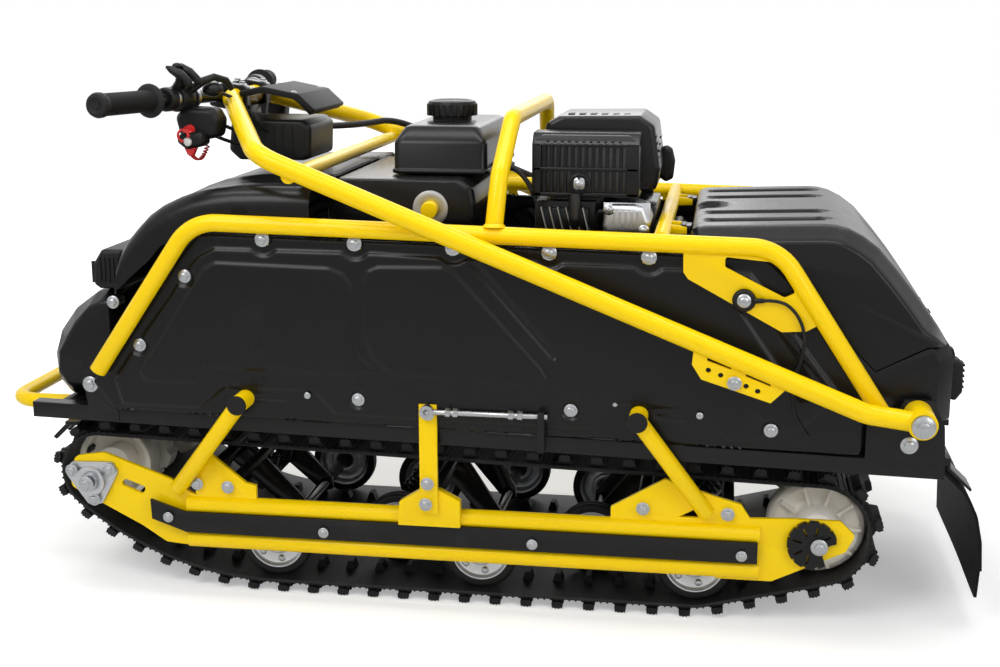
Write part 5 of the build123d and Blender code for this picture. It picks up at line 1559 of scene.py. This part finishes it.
@dataclass
class SteeringFrame:
    """Folding yellow arms, handlebar, grips, levers, pods, instruments and their leads."""

    bar_start: Point = (444.5, 85.0, 808.0)
    grip_end: Point = (512.0, 402.0, 811.0)
    bar_radius: float = 11.1
    grip_length: float = 135.0
    ring_count: int = 44
    arm_y: float = -352.0
    arm_foot: Point = (-612.0, 378.0)
    arm_head: Point = (290.0, 737.0)
    ties: Sequence[float] = (176, 120, 20, -90, -200, -310, -420, -520)
    harness_thickness: float = 12.0
    harness: Sequence[Point] = ((345, -76, 745), (330, -130, 742), (305, -190, 738), (270, -250, 738),
                                (238, -310, 742), (182.1, -352, 717), (113, -352, 689.5),
                                (-567.9, -352, 418.5))
    cable_thickness: float = 6.0
    cables: Sequence[Sequence[Point]] = (
        ((452, 150, 790), (440, 120, 770), (418, 84, 752), (392, 80, 742), (372, 74, 736)),
        ((438, 150, 752), (424, 118, 738), (404, 92, 728), (384, 76, 724)),
        ((430, -150, 780), (424, -112, 764), (404, -88, 748), (380, -74, 738)),
        ((430, 152, 820), (410, 132, 814), (388, 112, 794), (372, 96, 766), (360, 75, 748)))
    lanyard_turns: int = 12
    lanyard_radius: float = 3.4

    def _along(self) -> Vector:
        """Direction of the handlebar's left half, outwards."""
        return (Vector(self.grip_end) - Vector(self.bar_start)).normalized()

    def _grips(self) -> None:
        """Builds the grips with end discs, collars and inner flanges."""
        along, length, bore = self._along(), self.grip_length, self.bar_radius
        start = Vector(self.grip_end) - along * length
        profile = [(bore, 0), (26, 0), (26.5, 2), (24, 4.5), (17.6, 5.5), (16.4, 12), (16.2, length - 14),
                   (18.6, length - 9), (19, length - 2), (17, length + 3), (12, length + 4),
                   (10, length + 2.4),
                   (6, length + 2.4), (5, length + 4), (0.1, length + 4), (0.1, length - 1),
                   (bore, length - 1)]
        for side in Side:
            flip = Vector((1, side.value, 1))
            Maker().lathe(start * flip, profile, 48, along * flip).piece(
                "grip_rubber_" + side.label, GRIP_RUBBER, "grip_" + side.label, body=Body.STEERING, smooth=50)
        ribs = Maker()
        for i in range(self.ring_count):
            spot = start + along * (14 + i * (length - 30) / (self.ring_count - 1))
            ribs.lathe(spot, [(15.6, -0.7), (16.9, -0.5), (16.9, 0.5), (15.6, 0.7)], 28, along)
        ribs.both_sides().piece("grip_fine_rings", GRIP_RUBBER, body=Body.STEERING)

    def _controls(self) -> None:
        """Builds the pods, levers, switches and clamp rings by the grips."""
        along, start, bore, body = self._along(), Vector(self.bar_start), self.bar_radius + 0.1, Body.STEERING

        def at(distance: float, x: float = 0.0, z: float = 0.0) -> Vector:
            """A place beside the bar, outwards from its bend."""
            return start + along * distance + Vector((x, 0, z))

        pods, bright, levers, knobs = Maker(), Maker(), Maker(), Maker()
        pods.lathe(at(88), [(bore, 0), (19, 0), (21, 4), (21, 30), (19, 34), (bore, 34)], 36, along)
        pods.lathe(at(132), [(bore, 0), (17, 0), (19, 3), (19, 17), (17, 20), (bore, 20)], 36, along)
        shell = rounded([(404, 748), (442, 740), (470, 750), (476, 780), (462, 796), (410, 794), (400, 776)],
                        12)
        switch = rounded([(420, 736), (452, 728), (470, 742), (462, 756), (424, 758)], 10)
        pods.pillow(shell, 150, 196, 12).pillow(switch, 176, 214, 10)
        levers.tube([at(140, 10, 2), (488, 228, 806), (504, 270, 804), (520, 325, 801), (530, 360, 800)],
                    [6.5, 6.0, 5.2, 4.8, 5.6], 16).ball((530, 362, 800), 7.0)
        knobs.tube([at(125, -4, 14), (455, 218, 836), (453, 221, 846)], [8, 7, 6], 16)
        knobs.tube([(474, 223, 860), (466, 223, 856), (451, 222, 847), (438, 221, 834), (434, 221, 828)],
                   [2, 6, 8, 7, 2], 18)
        knobs.tube([at(112, -6, 10), (448, 200, 832), (446, 200, 844)], [8, 7, 6], 16)
        knobs.tube([(466, 203, 862), (458, 203, 860), (444, 202, 851), (430, 201, 837), (426, 201, 831)],
                   [2, 5.5, 7.5, 6.5, 2], 18).ball((460, 212, 861), 5.5, (1.5, 1.2, 0.9))
        knobs.tube([at(100, -8, 8), (430, 182, 836), (416, 168, 842), (402, 152, 836), (396, 142, 822)],
                   [7, 6.5, 6, 6, 5], 16).ball((420, 166, 822), 13.0, (1.3, 1.2, 0.9))
        for distance, radius in ((70, 17.5), (124, 16.5)):
            bright.lathe(at(distance), [(bore, 0), (radius, 0), (radius + 0.6, 3), (radius, 7), (bore, 7)],
                         36, along)
        bright.tube([(446, 208, 744), (448, 216, 742)], 7)
        pods.both_sides().piece("pod_shells", TRIM_PLASTIC, "control_pods", body=body, smooth=45, bevel=0.8)
        levers.both_sides().piece("brake_levers", BLACK_PAINT, "levers", body=body, smooth=60)
        knobs.piece("thumb_levers", TRIM_PLASTIC, body=body, smooth=60)
        bright.both_sides().piece("clamp_rings", ALLOY, body=body, smooth=45)
        Maker().tube([(446, 213.5, 742), (447, 218.5, 741.5)], 6, 24).piece("white_key", WHITE_KEY, body=body,
                                                                            bevel=1.0)
        Maker().lathe((455, 212, 752), [(7, 0), (11, 0), (11, 3), (7, 3)], 28, (0.1, 1, 0)).piece(
            "red_switch_ring", RED, body=body, bevel=0.8)

    def _instruments(self) -> None:
        """Builds the dash plate, its hood, the instrument case and its stay."""
        body = Body.STEERING
        refined("dash_plate", MATT_PLASTIC, 1.2, body)
        hood = rounded([(399, 806), (402, 815), (362, 824), (300, 812), (272, 786), (276, 780), (303, 803),
                        (364, 815)], 3, 3)
        Maker().pillow(hood, -96, 96, 5, 3).piece("dash_hood", MATT_PLASTIC, body=body, smooth=50)
        bolt_set("dash_screws", RIVET, [(384, 74, 819.6), (312, 78, 814.4)], (-0.15, 0, 1), body)
        box = rounded([(288, 704), (286, 758), (300, 768), (424, 768), (430, 716), (412, 700), (302, 700)],
                      10)
        Maker().pillow(box, -76, 76, 10).piece("instrument_case", TRIM_PLASTIC, "instrument_box", body=body,
                                               smooth=50)
        bar_row("case_ribs", TRIM_PLASTIC, 6, (398, 76.4, 735), (-16, 0, 0), (3.0, 2.4, 46.0), body=body)
        Maker().box(404, 424, -30, 30, 766, 788).piece("case_stay", BLACK_PAINT, body=body, bevel=1.5)

    def _leads(self) -> None:
        """Builds the harness with its ties, the control cables and the red stop-switch lanyard."""
        body = Body.STEERING
        free_cord("steering_loom", self.harness, self.harness_thickness, ["steering_harness"], body)
        (x0, z0), (x1, z1) = self.arm_foot, self.arm_head
        run, rise = Vector((x1 - x0, z1 - z0)).normalized()
        ties = Maker()
        for x in self.ties:
            centre = (x - 8 * rise, self.arm_y, z0 + rise / run * (x - x0) + 8 * run)
            ties.lathe(centre, [(23.6, -3), (25.2, -3), (25.2, 3), (23.6, 3)], 32, (run, 0, rise))
        ties.piece("harness_ties", TRIM_PLASTIC, body=body)
        for i, route in enumerate(self.cables):
            free_cord(f"control_cable_{i + 1}", route, self.cable_thickness, body=body)
        clip = rounded([(438, 752), (446, 760), (458, 758), (462, 742), (452, 720), (444, 716), (436, 732)],
                       5)
        red = Maker().pillow(clip, 196, 208, 4).tube([(450, 190, 760), (450, 204, 758)], 9, 24)
        red.piece("stop_clip", RED, "lanyard", body=body, smooth=50)
        coil, steps = [], 10 * self.lanyard_turns
        for i in range(steps + 1):
            across, up = polar(FULL_TURN * i / 10, self.lanyard_radius)
            share = i / steps
            coil.append((446 - 12 * share + across, 202 - 40 * share + up,
                         720 + 12 * share - 14 * math.sin(math.pi * share)))
        free_cord("stop_lanyard", coil, 2.6, body=body, finish=RED)

    def build(self) -> None:
        """Builds the steering's pieces."""
        body = Body.STEERING
        for node, finish, bevel in (("steering_arms", YELLOW, 0.8), ("handlebar", BLACK_PAINT, 0.0),
                                    ("bar_clamps", BLACK_PAINT, 1.0)):
            refined(node, finish, bevel, body)
        self._grips()
        self._controls()
        self._instruments()
        self._leads()
        bolt_set("adjuster_bolts", M8, [(-422, 360.6, 418)], body=body)
        bolt_set("clamp_bolts", M6, [(408, 55, 824.8), (454, 55, 824.6)], UP, body)


# Studio


@dataclass(frozen=True)
class SoftBox:
    """One soft lamp, in metres and watts."""

    name: str
    place: Point
    aim: Point
    size: tuple[float, float]
    watts: float


@dataclass
class Studio:
    """Pale floor, white surround, soft lamps and the photograph's camera, in metres and degrees."""

    camera_place: Point = (-0.400, 2.4229, 0.9507)
    heading: float = 8.88
    pitch: float = 12.69
    lens: float = 52.13
    ambient: float = 0.38
    floor_half: float = 9000.0
    floor_grey: float = 0.86
    floor_lift: float = 0.36
    fade: tuple[float, float] = (0.9, 2.0)
    lamps: Sequence[SoftBox] = (
        SoftBox("key_lamp", (1.3, 2.6, 2.6), (0, 0.2, 0.4), (1.6, 1.6), 38.0),
        SoftBox("side_lamp", (-2.2, 2.3, 1.6), (0, 0.2, 0.4), (1.4, 1.4), 18.0),
        SoftBox("top_lamp", (0.0, 0.5, 2.6), (0, 0.25, 0.4), (2.8, 0.5), 28.0),
        SoftBox("back_lamp", (0.4, -2.8, 2.0), (0, 0, 0.5), (1.8, 1.8), 16.0),
        SoftBox("front_strip", (0.0, 1.9, 2.3), (0, 0.2, 0.4), (2.8, 0.14), 9.0),
        SoftBox("rear_strip", (0.0, -1.3, 2.2), (0, 0, 0.5), (2.8, 0.20), 6.0),
    )

    def _camera(self) -> None:
        """Creates the camera at the photograph's place."""
        turn, dip = math.radians(self.heading), math.radians(self.pitch)
        ahead = Vector((math.sin(turn) * math.cos(dip), -math.cos(turn) * math.cos(dip), -math.sin(dip)))
        right = Vector((-math.cos(turn), -math.sin(turn), 0.0))
        data = bpy.data.cameras.new("photo_camera")
        data.lens = self.lens
        data.sensor_width = 36.0
        data.clip_end = 60.0
        made = placed("photo_camera", data)
        rotation = Matrix((right, right.cross(ahead), -ahead)).transposed()
        made.matrix_world = Matrix.Translation(self.camera_place) @ rotation.to_4x4()
        bpy.context.scene.camera = made

    def _surround(self) -> None:
        """Sets a surround that is white to look at and lights the object plainly."""
        world = bpy.data.worlds.new("studio")
        bpy.context.scene.world = world
        world.use_nodes = True
        world.node_tree.nodes.clear()
        tree = Tree(world.node_tree)
        path = tree.node("ShaderNodeLightPath").outputs
        seen = tree.node("ShaderNodeMath", path["Is Camera Ray"], path["Is Transmission Ray"],
                         operation="MAXIMUM")
        bright = tree.node("ShaderNodeMath", seen, path["Is Glossy Ray"], operation="MAXIMUM")
        strength = tree.node("ShaderNodeMapRange", bright, clamp=True, To_Min=self.ambient, To_Max=1.0)
        tree.node("ShaderNodeOutputWorld", tree.node("ShaderNodeBackground", WHITE, strength))

    def _floor(self) -> None:
        """Lays a wide pale floor that fades to white away from the object."""
        far = self.floor_half
        maker = Maker().faces([(-far, -far, 0), (far, -far, 0), (far, far, 0), (-far, far, 0)],
                              [(0, 1, 2, 3)])
        floor = placed("floor", maker.mesh("floor"))
        paint, tree = new_material("pale_floor")
        place = tree.node("ShaderNodeTexCoord").outputs["Object"]
        reach = tree.node("ShaderNodeVectorMath", place, operation="LENGTH").outputs["Value"]
        lift = tree.node("ShaderNodeMapRange", reach, clamp=True, From_Min=self.fade[0],
                         From_Max=self.fade[1], To_Min=self.floor_lift, To_Max=1.0)
        seen = tree.node("ShaderNodeLightPath").outputs["Is Camera Ray"]
        glow = tree.node("ShaderNodeEmission", WHITE,
                         tree.node("ShaderNodeMath", lift, seen, operation="MULTIPLY"))
        matt = tree.node("ShaderNodeBsdfDiffuse", (*(self.floor_grey,) * 3, 1.0))
        tree.node("ShaderNodeOutputMaterial", tree.node("ShaderNodeAddShader", matt, glow))
        floor.data.materials.append(paint)

    def build(self) -> None:
        """Sets up the studio."""
        bpy.context.scene.view_settings.view_transform = "Standard"
        self._camera()
        self._surround()
        self._floor()
        for lamp in self.lamps:
            data = bpy.data.lights.new(lamp.name, "AREA")
            data.shape = "RECTANGLE"
            data.size, data.size_y = lamp.size
            data.energy = lamp.watts
            way = Vector(lamp.aim) - Vector(lamp.place)
            placed(lamp.name, data).matrix_world = (Matrix.Translation(lamp.place)
                                                    @ way.to_track_quat("-Z", "Y").to_matrix().to_4x4())


def main() -> None:
    """Builds the whole scene."""
    logging.basicConfig(level=logging.INFO, format="%(name)s %(message)s")
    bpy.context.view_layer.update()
    for part in (Studio(), TrackLoop(), RoadWheels(), Suspension(), Drums(), TrackFrame(), SidePanels(),
                 HullFrame(), FrontBody(), RearLid(), Tail(), Engine(), TankAndDrive(), SteeringFrame()):
        LOG.info("building %s", type(part).__name__)
        part.build()


if __name__ == "__main__":
    main()
